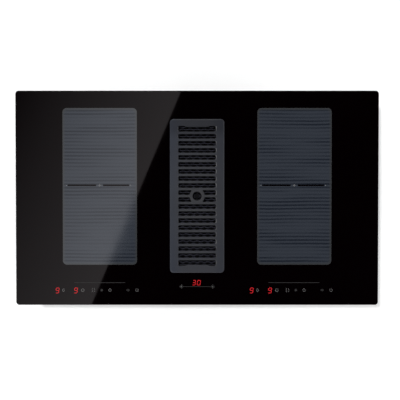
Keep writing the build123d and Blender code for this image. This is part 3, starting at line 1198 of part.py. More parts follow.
def make_outlet_adapter():
    """Moulding that widens the scroll's square channel into the flat duct's spigot."""
    wall = SPIGOT_WALL
    inlet_width = CHANNEL_RIGHT - CHANNEL_LEFT + 2 * SCROLL_WALL + 2 * SLEEVE_PLAY
    inlet_height = SCROLL_HEIGHT + 2 * SLEEVE_PLAY
    spigot_start = FAN_BOX_REAR - FAN_BOX_SHEET
    mouth_width = SPIGOT_WIDTH - 2 * wall
    mouth_height = SPIGOT_HEIGHT - 2 * wall
    flare_outside = loft([across(SCROLL_EXIT_Y, inlet_width + 2 * wall, inlet_height + 2 * wall),
                          across(spigot_start, SPIGOT_WIDTH, SPIGOT_HEIGHT)], ruled=True)
    flare_inside = loft([across(SCROLL_EXIT_Y, inlet_width, inlet_height),
                         across(spigot_start, mouth_width, mouth_height)], ruled=True)
    sleeve = (across(SCROLL_EXIT_Y - SLEEVE_LENGTH, inlet_width + 2 * wall,
                     inlet_height + 2 * wall)
              - across(SCROLL_EXIT_Y - SLEEVE_LENGTH, inlet_width, inlet_height))
    spigot = (across(spigot_start, SPIGOT_WIDTH, SPIGOT_HEIGHT)
              - across(spigot_start, mouth_width, mouth_height))
    body = flare_outside - flare_inside
    body += extrude(sleeve, SLEEVE_LENGTH)
    body += extrude(spigot, SPIGOT_LENGTH + FAN_BOX_SHEET)
    for side in (-1, 1):
        ear_x = SPIGOT_X + side * (SPIGOT_WIDTH + OUTLET_EAR - wall) / 2
        body += Pos(ear_x, spigot_start - wall / 2, SPIGOT_Z) * Box(
            OUTLET_EAR + wall, wall, OUTLET_EAR_HEIGHT)
    body -= [Pos(x, spigot_start, z) * Rot(90, 0, 0) * Cylinder(SCREW_RADIUS, 4 * wall)
             for x, z in outlet_screw_places()]
    return body - [Pos(SPIGOT_X, SHUTTER_Y, z) * Rot(0, 90, 0) * Cylinder(
        SHUTTER_PIN_RADIUS + SHUTTER_PIN_PLAY, 2 * SPIGOT_WIDTH) for z in shutter_axes()]


def shutter_pitch():
    clear_height = SPIGOT_HEIGHT - 2 * SPIGOT_WALL - 2 * SHUTTER_PLAY - SHUTTER_BARREL_RADIUS
    return clear_height / SHUTTER_BLADES


def shutter_axes():
    """Heights of the blades' hinge axes, from the top one down."""
    top = SPIGOT_Z + SPIGOT_HEIGHT / 2 - SPIGOT_WALL - SHUTTER_PLAY - SHUTTER_BARREL_RADIUS
    return [top - k * shutter_pitch() for k in range(SHUTTER_BLADES)]


def make_shutter_blade(z):
    """One non-return blade: hinge barrel, hanging sheet with a folded lip and two pins."""
    length = SPIGOT_WIDTH - 2 * SPIGOT_WALL - 2 * SHUTTER_PLAY
    drop = shutter_pitch() - SHUTTER_BARREL_RADIUS - SHUTTER_PLAY
    half_sheet = SHUTTER_SHEET / 2
    blade = Rot(0, 90, 0) * Cylinder(SHUTTER_BARREL_RADIUS, length)
    blade += Rot(0, 90, 0) * Cylinder(SHUTTER_PIN_RADIUS, SPIGOT_WIDTH)
    blade += block(-length / 2, length / 2, -half_sheet, half_sheet, -drop, 0)
    blade += block(-length / 2, length / 2, -half_sheet, half_sheet + SHUTTER_LIP,
                   -drop, -drop + SHUTTER_SHEET)
    return Pos(SPIGOT_X, SHUTTER_Y, z) * blade


# ---------------------------------------------------------------- overflow drawer
def make_overflow_drawer():
    """Plastic drawer under the front of the well, pulled out forwards by its grip."""
    low = FAN_BOX_FLOOR + DRAWER_PLAY
    top = low + DRAWER_HEIGHT
    front = FAN_BOX_FRONT - DRAWER_FRONT_GAP
    back = SCROLL_FRONT_Y - DRAWER_TO_SCROLL
    middle = (front + back) / 2
    drawer = slab(DRAWER_WIDTH, back - front, low, top, 0, middle, DRAWER_CORNER_RADIUS)
    drawer += block(-DRAWER_WIDTH / 2, DRAWER_WIDTH / 2, front, middle, low, top)
    drawer -= slab(DRAWER_WIDTH - 2 * DRAWER_WALL, back - front - 2 * DRAWER_WALL,
                   low + DRAWER_WALL, top + 1, 0, middle, DRAWER_CORNER_RADIUS - DRAWER_WALL)
    half = DRAWER_WIDTH / 2 + DRAWER_FRONT_OVERLAP
    drawer += block(-half, half, front - DRAWER_FRONT_THICKNESS, front,
                    low, top + DRAWER_FRONT_OVERLAP)
    grip = SlotOverall(DRAWER_GRIP_WIDTH, 2 * DRAWER_GRIP_REACH)
    grip = Pos(0, front - DRAWER_FRONT_THICKNESS / 2, top - DRAWER_WALL) * extrude(
        grip, 2 * DRAWER_WALL)
    grip -= block(-half, half, front, middle, low, top + DRAWER_FRONT_OVERLAP)
    return drawer + grip


def make_drawer_rails():
    """Angle rails on the fan box's floor that guide the drawer."""
    inner = DRAWER_WIDTH / 2 + DRAWER_PLAY
    front = FAN_BOX_FRONT + FAN_BOX_SHEET
    back = SCROLL_FRONT_Y - DRAWER_TO_SCROLL
    rail = block(inner, inner + RAIL_SHEET, front, back, FAN_BOX_FLOOR,
                 FAN_BOX_FLOOR + RAIL_HEIGHT)
    rail += block(inner, inner + RAIL_FOOT, front, back, FAN_BOX_FLOOR,
                  FAN_BOX_FLOOR + RAIL_SHEET)
    return group([rail, mirror(rail, about=Plane.YZ)])


# ---------------------------------------------------------------- screws
def make_housing_screws():
    """All the pan-head sheet metal screws: brackets, clips, fan box, terminal box, outlet."""
    bracket_z = GLASS_BOTTOM - BRACKET_DROP / 2
    screws = [Pos(x, y, bracket_z) * Rot(0, 0, turn) * Pos(TRAY_SHEET, 0, 0) * screw_along_x()
              for x, y, turn in bracket_places()]
    screws += [Pos(x, y, clip_screw_height()) * Rot(0, 0, turn) * Pos(CLIP_SHEET, 0, 0)
               * screw_along_x() for x, y, turn in clip_places()]
    screws += [Pos(x, y, TRAY_BOTTOM - FAN_BOX_SHEET) * Rot(0, 90, 0) * screw_along_x()
               for x, y in flange_screw_places()]
    screws += [Pos(x, y, TRAY_BOTTOM - TERMINAL_WALL) * Rot(0, 90, 0) * screw_along_x()
               for x, y in terminal_screw_places()]
    screws += [Pos(x, FAN_BOX_REAR, z) * Rot(0, 0, 90) * screw_along_x()
               for x, z in outlet_screw_places()]
    return group(screws)


# ---------------------------------------------------------------- the assembly
nodes = {
    "glass_top": make_glass_top(),
    "worktop_gasket": make_worktop_gasket(),
    "glass_brackets": make_glass_brackets(),
    "housing_screws": make_housing_screws(),
    "base_tray": make_base_tray(),
    "worktop_clips": make_worktop_clips(),
    "intake_well": make_intake_well(),
    "well_seal": make_well_seal(),
    "filter_frame": make_filter_frame(),
    "filter_panel": make_filter_panel(),
    "filter_media": make_filter_media(),
    "filter_pull": make_filter_pull(),
    "vent_grille": make_vent_grille(),
    "grille_feet": make_grille_feet(),
    "mica_sheets": make_mica_sheets(),
    "coil_carriers": make_coil_carriers(),
    "ferrite_bars": make_ferrite_bars(),
    "coil_sensors": make_coil_sensors(),
    "coil_posts": make_coil_posts(),
    "coil_springs": make_coil_springs(),
    "board_standoffs": make_standoffs(),
    "board_components": make_board_components(),
    "heatsinks": make_heatsinks(),
    "mains_filter": make_mains_filter(),
    "control_boards": make_control_boards(),
    "control_holders": make_control_holders(),
    "digit_modules": make_digit_modules(),
    "touch_contacts": make_touch_contacts(),
    "terminal_box": make_terminal_box(),
    "terminal_lid": make_terminal_lid(),
    "terminal_block": make_terminal_block(),
    "cable_grommet": make_cable_grommet(),
    "fan_box": make_fan_box(),
    "driver_housing": make_driver_housing(),
    "scroll_lower": make_scroll_lower(),
    "scroll_upper": make_scroll_upper(),
    "blower_wheel": make_blower_wheel(),
    "wheel_blades": make_wheel_blades(),
    "fan_motor": make_fan_motor(),
    "motor_bearings": make_motor_bearings(),
    "motor_shaft": make_motor_shaft(),
    "blower_bushes": make_blower_bushes(),
    "outlet_adapter": make_outlet_adapter(),
    "overflow_drawer": make_overflow_drawer(),
    "drawer_rails": make_drawer_rails(),
}
for name, side in (("left", -1), ("right", 1)):
    nodes[f"coil_plate_{name}"] = make_coil_plate(side)
    nodes[f"power_board_{name}"] = make_power_board(side)
    nodes[f"cooling_fan_{name}"] = make_cooling_fan(side)
    nodes[f"cooling_rotor_{name}"] = make_cooling_rotor(side)
    for place, centre in zip(("front", "rear"), coil_centres(side)):
        nodes[f"coil_winding_{name}_{place}"] = make_winding(*centre)
for number, height in enumerate(shutter_axes(), start=1):
    nodes[f"shutter_blade_{number}"] = make_shutter_blade(height)

os.makedirs("parts", exist_ok=True)
for name, shape in nodes.items():
    export_step(shape, f"parts/{name}.step")
print(len(nodes), "nodes")
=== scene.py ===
# %% [markdown]
# # A downdraft induction cooktop
#
# A built-in cooktop is a sheet of black glass over a steel tray. The glass carries printed cooking
# zones and touch symbols. An opening in its middle lets a blower draw the fumes down, through a
# cast grille and a grease filter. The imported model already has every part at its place, so this
# script only dresses it: it repolishes the parts, adds what is finer than the solids, and lights
# the whole as a studio would.

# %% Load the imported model
import json
import math
from functools import partialmethod

import bmesh
import bpy
from mathutils import Matrix, Vector
from mathutils.bvhtree import BVHTree


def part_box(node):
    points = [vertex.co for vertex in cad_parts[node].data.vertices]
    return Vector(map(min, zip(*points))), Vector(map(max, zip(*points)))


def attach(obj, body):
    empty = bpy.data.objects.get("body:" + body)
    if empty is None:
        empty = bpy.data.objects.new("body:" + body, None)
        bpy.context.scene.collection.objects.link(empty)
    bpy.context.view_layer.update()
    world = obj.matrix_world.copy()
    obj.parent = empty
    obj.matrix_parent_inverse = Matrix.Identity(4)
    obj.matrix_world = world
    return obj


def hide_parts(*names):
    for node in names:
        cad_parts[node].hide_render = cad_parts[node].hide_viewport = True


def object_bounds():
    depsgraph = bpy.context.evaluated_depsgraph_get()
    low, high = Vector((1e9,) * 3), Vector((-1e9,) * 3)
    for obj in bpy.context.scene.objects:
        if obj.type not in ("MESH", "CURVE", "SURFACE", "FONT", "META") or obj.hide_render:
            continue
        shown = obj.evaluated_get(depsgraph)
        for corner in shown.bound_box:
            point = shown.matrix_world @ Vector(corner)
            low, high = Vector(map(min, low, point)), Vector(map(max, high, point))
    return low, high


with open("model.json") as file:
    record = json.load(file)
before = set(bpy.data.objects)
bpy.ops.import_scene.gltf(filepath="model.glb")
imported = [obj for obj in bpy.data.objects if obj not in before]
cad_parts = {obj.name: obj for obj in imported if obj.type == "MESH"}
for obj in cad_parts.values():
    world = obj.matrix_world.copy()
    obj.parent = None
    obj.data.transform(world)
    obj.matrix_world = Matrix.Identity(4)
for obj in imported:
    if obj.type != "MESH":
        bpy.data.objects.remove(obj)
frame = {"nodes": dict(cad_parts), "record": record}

CAD_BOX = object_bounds()
MM = 0.001

# %% [markdown]
# ## Helpers for objects and nodes
#
# Every material, the sky and every Geometry Nodes tree is built by one function, which makes a
# node, fills its sockets and hands back the output to go on with.

# %% Objects and nodes
def linked(name, data):
    """A new object in the scene."""
    item = bpy.data.objects.new(name, data)
    bpy.context.scene.collection.objects.link(item)
    return item


def node(owner, kind, links=(), out=0, **settings):
    """A node whose sockets are filled from values or sockets; gives one output, or itself."""
    tree = getattr(owner, "node_tree", owner)
    made = tree.nodes.new(kind if "Node" in kind else "ShaderNode" + kind)
    for key, value in settings.items():
        setattr(made, key, value)
    for name, source in dict(links).items():
        source = getattr(source, "socket", source)
        if isinstance(source, bpy.types.NodeSocket):
            tree.links.new(source, made.inputs[name])
        else:
            made.inputs[name].default_value = source
    return made if out is None else made.outputs[out]


class Number:
    """A number in a node tree: a sum or a product of it becomes a math node."""

    def __init__(self, owner, socket):
        self.owner, self.socket = owner, socket

    def then(self, operation, *others):
        return Number(self.owner, node(self.owner, "Math", enumerate([self, *others]),
                                       operation=operation))

    __add__ = partialmethod(then, "ADD")
    __sub__ = partialmethod(then, "SUBTRACT")
    __mul__ = partialmethod(then, "MULTIPLY")
    __truediv__ = partialmethod(then, "DIVIDE")


def cleared(owner):
    """A material or sky with no nodes yet."""
    owner.use_nodes = True
    owner.node_tree.nodes.clear()
    return owner


# %% [markdown]
# ## The camera
#
# The photograph looks straight down from about three metres, with a long lens, so the glass is
# nearly a plain rectangle. Its rear edge is a little wider than its front edge, which means that
# the camera leans back by about two degrees. A perspective camera on that line gives both.

# %% Camera
CAMERA_DISTANCE = 3.0
VIEW_WIDTH = 0.9705
CAMERA_TILT = math.radians(1.9)
AIM = Vector((0.00705, -0.0047, 0.006))

camera_data = bpy.data.cameras.new("studio_camera")
camera_data.sensor_width = 36.0
camera_data.lens = camera_data.sensor_width * CAMERA_DISTANCE / VIEW_WIDTH
camera = linked("studio_camera", camera_data)
camera.location = AIM + CAMERA_DISTANCE * Vector((0, math.sin(CAMERA_TILT), math.cos(CAMERA_TILT)))
camera.rotation_euler = (-CAMERA_TILT, 0, 0)
bpy.context.scene.camera = camera
print("lens", round(camera_data.lens, 1), "mm")

# %% [markdown]
# ## Small helpers for materials
#
# Every finish is a node tree that is fed by Object coordinates, so a pattern stays on its part and
# keeps its real size. A few short functions keep those trees easy to read.

# %% Material helpers
def shader_of(finish):
    return finish.node_tree.nodes["Principled BSDF"]


def new_finish(name, color, roughness, metallic=0.0, more=()):
    """A material with its own Principled shader, whose steady values are set on the sockets."""
    finish = bpy.data.materials.new(name)
    finish.use_nodes = True
    steady = {"Base Color": (*color, 1), "Roughness": roughness, "Metallic": metallic,
              **dict(more)}
    for socket, value in steady.items():
        shader_of(finish).inputs[socket].default_value = value
    return finish


def feed(finish, socket, source):
    """Feeds a socket of the finish's shader."""
    finish.node_tree.links.new(source, shader_of(finish).inputs[socket])


def object_place(owner):
    return node(owner, "TexCoord", out="Object")


def noise_of(owner, scale, detail, stretch=(1, 1, 1), distortion=0.0):
    """Noise of a given number of grains per metre, on stretched Object coordinates."""
    place = node(owner, "Mapping", {"Vector": object_place(owner), "Scale": stretch})
    return node(owner, "TexNoise", {"Vector": place, "Scale": scale, "Detail": detail,
                                    "Distortion": distortion}, "Fac")


def ramp_of(owner, source, stops):
    """A colour ramp with (place, colour or grey) stops."""
    ramp = node(owner, "ValToRGB", {"Fac": source}, None)
    elements = ramp.color_ramp.elements
    while len(elements) < len(stops):
        elements.new(0.5)
    for element, (place, color) in zip(elements, stops):
        element.position = place
        element.color = (*color, 1) if isinstance(color, tuple) else (color, color, color, 1)
    return ramp.outputs["Color"]


def spread_of(owner, source, low, high, start=0.0, end=1.0):
    """A value from start to end, spread between low and high."""
    return node(owner, "MapRange", {"Value": source, "From Min": start, "From Max": end,
                                    "To Min": low, "To Max": high}, "Result")


def mixed(owner, factor, first, second, blend="MIX"):
    """Two colours, mixed or multiplied."""
    return node(owner, "Mix", {"Factor": factor, "A": first, "B": second}, "Result",
                data_type="RGBA", blend_type=blend)


def tint(finish, stops, *pattern):
    """A base colour that follows noise through a ramp."""
    feed(finish, "Base Color", ramp_of(finish, noise_of(finish, *pattern), stops))


def vary(finish, low, high, *pattern):
    """A roughness that follows noise."""
    feed(finish, "Roughness", spread_of(finish, noise_of(finish, *pattern), low, high))


def add_bump(finish, height, strength, distance):
    """Relief of a given depth in metres."""
    feed(finish, "Normal", node(finish, "Bump", {"Height": height, "Strength": strength,
                                                 "Distance": distance}, "Normal"))


# %% [markdown]
# ## Floor, sky and lamps
#
# The object stands on a white sheet. A sheet that is lit from above turns grey where the object
# shades it, so the floor adds a little light of its own for the camera and stays white, and the
# narrow shadow still shows. The sky gives an even soft light, and one nearly vertical sun throws
# the shadow to the lower right. A shiny black surface shows whatever is above it: polished rays
# see a dark ceiling that pales to the horizon, and one dim sheet of light whose straight edge
# makes the slanting reflection on the left of the glass.

# %% Floor
FLOOR_HEIGHT = CAD_BOX[0].z
FLOOR_HALF = 8.0
PAPER_WHITE = 0.88
PAPER_GLOW = 0.245


def stage_sheet(name, corners, material):
    """One flat face of the studio, which is not a piece of the object."""
    mesh = bpy.data.meshes.new(name)
    mesh.from_pydata(corners, [], [range(4)])
    mesh.materials.append(material)
    sheet = linked(name, mesh)
    return sheet


def make_floor():
    """Paper that glows for the rays that should see plain white, and is clear from below."""
    paper = cleared(bpy.data.materials.new("white_paper"))
    rays = node(paper, "LightPath", out=None).outputs
    seen = Number(paper, rays["Is Camera Ray"])
    for other in ("Is Glossy Ray", "Is Transmission Ray"):
        seen = seen.then("MAXIMUM", rays[other])
    matt = node(paper, "BsdfDiffuse", {"Color": (PAPER_WHITE, PAPER_WHITE, PAPER_WHITE, 1)})
    glow = node(paper, "Emission", {"Strength": seen * PAPER_GLOW})
    sheet = node(paper, "MixShader", {"Fac": node(paper, "NewGeometry", out="Backfacing"),
                                      1: node(paper, "AddShader", {0: matt, 1: glow}),
                                      2: node(paper, "BsdfTransparent")})
    node(paper, "OutputMaterial", {"Surface": sheet}, None)
    stage_sheet("studio_floor", [(x * FLOOR_HALF, y * FLOOR_HALF, FLOOR_HEIGHT)
                                 for x, y in ((-1, -1), (1, -1), (1, 1), (-1, 1))], paper)


make_floor()
print("floor at", round(FLOOR_HEIGHT / MM, 1), "mm")

# %% Sky
SKY_LEVEL = 0.42
CEILING = [(0.0, 0.85), (0.15, 0.80), (0.32, 0.45), (0.55, 0.16), (0.80, 0.02), (0.95, 0.0)]


def make_sky():
    """White for the camera, soft light for matt surfaces, a dark ceiling for polished ones."""
    world = cleared(bpy.data.worlds.new("studio_sky"))
    bpy.context.scene.world = world
    place = node(world, "TexCoord", out="Generated")
    ceiling = ramp_of(world, node(world, "SeparateXYZ", {0: place}, "Z"), CEILING)
    rays = node(world, "LightPath", out=None).outputs
    soft = mixed(world, rays["Is Glossy Ray"], (SKY_LEVEL, SKY_LEVEL, SKY_LEVEL, 1), ceiling)
    plain = mixed(world, rays["Is Camera Ray"], soft, (1, 1, 1, 1))
    background = node(world, "Background", {"Color": plain})
    node(world, "OutputWorld", {"Surface": background}, None)


make_sky()

# %% Lamps
SUN_LEAN = (0.171, -0.151)
SUN_DISTANCE = 5
PANELS = {"front_panel": (43, (-2.2, -3.2, 1.7)), "right_panel": (26, (3.6, 0.7, 1.6)),
          "rear_panel": (36, (-1.1, 3.6, 1.9))}
PANEL_SIZE = 3.0


def add_lamp(name, kind, power, place, target, **settings):
    data = bpy.data.lights.new(name, kind)
    data.energy = power
    for key, value in settings.items():
        setattr(data, key, value)
    lamp = linked(name, data)
    lamp.location = place
    lamp.rotation_euler = (Vector(target) - lamp.location).to_track_quat("-Z", "Y").to_euler()
    return lamp


sun_place = Vector((-SUN_LEAN[0], -SUN_LEAN[1], 1)) * SUN_DISTANCE
sun = add_lamp("overhead_sun", "SUN", 1.25, sun_place, (0, 0, 0), angle=math.radians(2.2))
sun.visible_glossy = False
panels = [add_lamp(name, "AREA", power, place, (0, 0, -0.1), shape="SQUARE", size=PANEL_SIZE)
          for name, (power, place) in PANELS.items()]
print("lamps", [lamp.name for lamp in (sun, *panels)])

# %% [markdown]
# ## The reflected sheet of light
#
# The slanting pale area on the left of the glass is not printed: it is the mirror image of
# something large and dim above. A flat sheet half a metre up, seen by polished rays only, gives
# the same picture. A point of the sheet is found by following the camera's ray down to the glass
# and up again, so the slanting edge on the glass is written in the glass's own coordinates.

# %% Reflection sheet
SHEET_HEIGHT = 0.5
SHEET_EDGE = ((-0.0365, 0.265), (-0.2615, -0.27))
SHEET_LEFT = -0.50
SHEET_PAST_EDGE = 0.15
SHEET_COLOR = (1.0, 0.92, 0.945, 1)
GLASS_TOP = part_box("glass_top")[1].z


def mirrored(point):
    """Where the camera's ray that meets the glass at this point crosses the sheet's height."""
    drop = camera.location.z - GLASS_TOP
    spot = Vector(point)
    return spot + (spot - camera.location.xy) * (SHEET_HEIGHT / drop)


def make_reflection_sheet():
    top, low = [mirrored(point) for point in SHEET_EDGE]
    past = (low - top) * SHEET_PAST_EDGE
    far, near, left = low + past, top - past, mirrored((SHEET_LEFT, 0)).x
    corners = [(x, y, GLASS_TOP + SHEET_HEIGHT)
               for x, y in ((left, near.y), near, far, (left, far.y))]
    glow = cleared(bpy.data.materials.new("dim_light_sheet"))
    place = node(glow, "SeparateXYZ", {0: object_place(glow)}, None).outputs
    across = Number(glow, spread_of(glow, place["X"], 0.0, 0.68, -0.60, 0.10))
    along = spread_of(glow, place["Y"], 0.28, -0.06, -0.35, 0.35)
    light = node(glow, "Emission", {"Color": SHEET_COLOR, "Strength": across + along})
    node(glow, "OutputMaterial", {"Surface": light}, None)
    sheet = stage_sheet("reflection_sheet", corners, glow)
    for rays in ("camera", "diffuse", "transmission", "volume_scatter", "shadow"):
        setattr(sheet, "visible_" + rays, False)
    return sheet


reflection_sheet = make_reflection_sheet()
print("reflection sheet", [round(size, 2) for size in reflection_sheet.dimensions])

# %% [markdown]
# ## Helpers for plates
#
# Much of this product is flat plate with holes: the glass, its prints, the grille. Such a plate is
# a stack of closed loops, in millimetres. Each loop is the outline moved in or out by a little and
# set at a height, so a rounded rim or a drafted slot is only a list of (offset, height) pairs. The
# flat faces between the outline and the holes are filled at the end and keep flat shading, while
# the rims are shaded smooth.

# %% Outline helpers
ORIGIN = (0, 0)
CORNER_STEPS = 4


def polar(center, radius, degrees):
    turn = math.radians(degrees)
    return Vector((center[0] + radius * math.cos(turn), center[1] + radius * math.sin(turn)))


def arc(center, radius, start, end, steps):
    """Points on a circle from one angle to another, in degrees."""
    return [polar(center, radius, start + (end - start) * k / steps) for k in range(steps + 1)]


def rounded_box(width, depth, radius, center, steps):
    """A counter-clockwise rectangle with rounded corners."""
    loop = []
    for k, (sx, sy) in enumerate(((1, -1), (1, 1), (-1, 1), (-1, -1))):
        corner = (center[0] + sx * (width / 2 - radius), center[1] + sy * (depth / 2 - radius))
        loop += arc(corner, radius, -90 + 90 * k, 90 * k, steps)
    return loop


def circle(center, radius, steps):
    return arc(center, radius, 0, 360, steps)[:-1]


def quarter_turned(points, quarters):
    return [Matrix.Rotation(math.radians(90 * quarters), 2) @ Vector(p) for p in points]


def soften(loop, radii):
    """Rounds the corners of a polygon, each by its own radius (0 leaves a corner sharp)."""
    softened = []
    for k, (corner, radius) in enumerate(zip(loop, radii)):
        before = (loop[k - 1] - corner).normalized()
        after = (loop[(k + 1) % len(loop)] - corner).normalized()
        half = before.angle(after) / 2
        if radius <= 0 or half > math.radians(89):
            softened.append(corner)
            continue
        reach = radius / math.tan(half)
        center = corner + (before + after).normalized() * (radius / math.sin(half))
        start, end = corner + before * reach - center, corner + after * reach - center
        turn = start.angle_signed(end)
        softened += [center + Matrix.Rotation(-turn * step / CORNER_STEPS, 2) @ start
                     for step in range(CORNER_STEPS + 1)]
    return softened


def grown(loop, distance):
    """The loop with every point moved outwards, for a counter-clockwise loop."""
    moved = []
    for k, point in enumerate(loop):
        first = (point - loop[k - 1]).normalized()
        second = (loop[(k + 1) % len(loop)] - point).normalized()
        normal = Vector((first.y + second.y, -first.x - second.x)).normalized()
        stretch = 1 / max(0.4, normal.dot(Vector((first.y, -first.x))))
        moved.append(point + normal * distance * stretch)
    return moved


def quarter_round(radius, top, steps):
    """Rim points of a rounded top edge: (offset, height) from the side up to the flat."""
    return [tuple(polar((-radius, top - radius), radius, 90 * k / steps))
            for k in range(steps + 1)]


# %% Plate builder
def loop_at(bm, loop, height):
    return [bm.verts.new((p.x * MM, p.y * MM, height * MM)) for p in loop]


def skin_loops(bm, lower, upper):
    """Quads between two loops of the same length."""
    count = len(lower)
    faces = [bm.faces.new((lower[k], lower[(k + 1) % count], upper[(k + 1) % count], upper[k]))
             for k in range(count)]
    for face in faces:
        face.smooth = True
    return faces


def skin_stack(bm, rings, hole=False, closed=False):
    """Skins each ring to the next; closed adds a flat face at both ends."""
    for lower, upper in zip(rings, rings[1:]):
        skin_loops(bm, *((upper, lower) if hole else (lower, upper)))
    if closed:
        bm.faces.new(rings[-1])
        bm.faces.new(rings[0][::-1])
    return rings


def add_walls(bm, loop, rim, hole=False):
    """Walls through the (outward offset, height) pairs of a rim, from below upwards."""
    return skin_stack(bm, [loop_at(bm, grown(loop, -offset if hole else offset), height)
                           for offset, height in rim], hole)


def fill_flat(bm, rings):
    """The flat face inside the first ring and outside the others."""
    edges = []
    for ring in rings:
        for pair in zip(ring, ring[1:] + ring[:1]):
            edges.append(bm.edges.get(pair) or bm.edges.new(pair))
    bmesh.ops.triangle_fill(bm, use_beauty=True, use_dissolve=False, edges=edges,
                            normal=(0, 0, 1))


def add_plate(bm, outer, rim, holes=()):
    """A plate from its outline and rim, and from its holes as (outline, rim) pairs."""
    stacks = [add_walls(bm, outer, rim)] + [add_walls(bm, *hole, hole=True) for hole in holes]
    for end in (-1, 0):
        fill_flat(bm, [rings[end] for rings in stacks])


# %% Finishing a piece
SLOT_OF = {row["node"]: row["material_slot"] for row in frame["record"]["subparts"]}
BODY_OF = {part: body for body, parts in frame["record"]["behaviour"]["bodies"].items()
           for part in parts}


def as_mesh(bm, name, *finishes):
    """Turns the bmesh into a mesh with these finishes."""
    bmesh.ops.recalc_face_normals(bm, faces=bm.faces)
    mesh = bpy.data.meshes.new(name)
    bm.to_mesh(mesh)
    bm.free()
    for finish in finishes:
        mesh.materials.append(finish)
    return mesh


def place_piece(mesh, name, part, replacing=True):
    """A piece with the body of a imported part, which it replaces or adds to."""
    piece = linked(name, mesh)
    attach(piece, BODY_OF[part])
    if replacing:
        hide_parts(part)
    print(name, len(mesh.vertices), "points", len(mesh.polygons), "faces")


def finish_piece(bm, name, finishes, part, replacing=True):
    """Mesh and piece in one step."""
    place_piece(as_mesh(bm, name, *finishes), name, part, replacing)


def plan_of(part):
    """Width, depth and centre of a part, in millimetres, with its lowest and highest level."""
    low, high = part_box(part)
    size, middle = (high - low) / MM, (high + low) / 2 / MM
    return size.x, size.y, (middle.x, middle.y), low.z / MM, high.z / MM


# %% [markdown]
# ## The glass
#
# Glass-ceramic is cut by water jet and its edge is ground to a small bevel and polished. The sheet
# is dyed nearly black all through, so all that is seen of it is its gloss: a very dark base
# colour and a smooth surface with faint wipe marks. The bevel is ground, so it is a little rougher
# and catches light as a thin line round the sheet.

# %% Glass finishes
GLASS_IOR = {"IOR": 1.52}
glass_black = new_finish("black_glass", (0.0008, 0.0001, 0.0003), 0.04, more=GLASS_IOR)
vary(glass_black, 0.025, 0.06, 9.0, 5.0, (1, 2.2, 1), 0.6)
tint(glass_black, [(0.3, (0.0006, 0.00005, 0.0002)), (0.7, (0.0010, 0.0002, 0.0005))], 3.0, 2.0)
ground_bevel = new_finish("ground_glass_bevel", (0.012, 0.012, 0.014), 0.22, more=GLASS_IOR)
add_bump(ground_bevel, noise_of(ground_bevel, 1800.0, 2.0), 0.25, 0.00005)

# %% Glass sheet
GLASS_WIDTH, GLASS_DEPTH, GLASS_CENTER, GLASS_LOW, GLASS_HIGH = plan_of("glass_top")
GLASS_CORNER = 8.0
GLASS_ROUND = 0.8
GROUND_EDGE = 0.35
VENT_CENTER = (0.0, 5.0)
VENT_SIZE = (116.0, 357.0)
VENT_CORNER = 6.0


def make_glass_sheet():
    bm = bmesh.new()
    outer = rounded_box(GLASS_WIDTH, GLASS_DEPTH, GLASS_CORNER, GLASS_CENTER, 10)
    vent = rounded_box(*VENT_SIZE, VENT_CORNER, VENT_CENTER, 8)
    rim = [(-GROUND_EDGE, GLASS_LOW), (0.0, GLASS_LOW + GROUND_EDGE)]
    rim += quarter_round(GLASS_ROUND, GLASS_HIGH, 6)
    add_plate(bm, outer, rim, [(vent, rim)])
    for face in bm.faces:
        face.material_index = int(face.smooth)
    finish_piece(bm, "glass_sheet", [glass_black, ground_bevel], "glass_top")


make_glass_sheet()

# %% [markdown]
# ## The printed zones
#
# Each long zone is a field of grey ceramic ink, screen-printed as fine lines across the glass and
# fired into it. Two bars and a few small marks in its middle are left out or printed over, and
# show where a pan's centre goes. The ink reflects more than the glass, so the reflection stays
# visible over it. A print is thin, but it has a height, so each is a plate of a twentieth of a
# millimetre: its edges stay sharp at any distance, where a painted texture would blur.

# %% Zone ink
LINE_PITCH = 8.5
WAVES_PER_METRE = 20 / (2 * math.pi)
LINE_DARK, LINE_LIGHT = (0.0135, 0.0170, 0.0255), (0.0365, 0.0425, 0.0555)
RIM_TONE = (0.041, 0.043, 0.045, 1)
zone_ink = new_finish("grey_zone_ink", (0.028, 0.033, 0.043), 0.12,
                      more={"IOR": 2.10, "Specular Tint": (0.90, 0.98, 1.0, 1)})


def dress_zone_ink():
    """Printed lines along X, a little wavy, fading where the ink thins, in a plain rim."""
    lines = node(zone_ink, "TexWave", {
        "Vector": object_place(zone_ink), "Scale": 1 / (WAVES_PER_METRE * LINE_PITCH * MM),
        "Distortion": 1.3, "Detail": 1.0, "Detail Scale": 0.22}, "Fac",
        bands_direction="Y", wave_profile="SIN")
    cut = spread_of(zone_ink, lines, 1.25, -0.35)
    fade = spread_of(zone_ink, noise_of(zone_ink, 1.0, 2.0, (3, 24, 1)), 0.15, 1.0, 0.38, 0.6)
    depth = node(zone_ink, "Math", {0: cut, 1: fade}, operation="MULTIPLY", use_clamp=True)
    tone = ramp_of(zone_ink, depth, [(0.0, LINE_LIGHT), (0.9, LINE_DARK)])
    rim = node(zone_ink, "Attribute", out="Fac", attribute_name="rim_share")
    feed(zone_ink, "Base Color", mixed(zone_ink, rim, tone, RIM_TONE))
    vary(zone_ink, 0.08, 0.16, 30.0, 3.0)


dress_zone_ink()
mark_ink = new_finish("pale_mark_ink", (0.20, 0.21, 0.22), 0.35)
tint(mark_ink, [(0.3, 0.16), (0.7, 0.24)], 900.0, 2.0)

# %% Zone prints
PRINT_LOW = GLASS_HIGH - 0.02
PRINT_HIGH = GLASS_HIGH + 0.05
ZONE_SIZE = (180.0, 380.0)
ZONE_RIM = 7.0
ZONE_CORNER = 10.0
FIELD_CORNER = 6.0
BAR_HEIGHT = 4.0
BAR_CORNER = 0.8
BAR_LINE = 31.0
ZONES = {"left": ((-236.0, 28.0), ((-313.8, -244.9), (-227.9, -164.8))),
         "right": ((236.0, 28.0), ((157.9, 226.9), (244.0, 308.1)))}


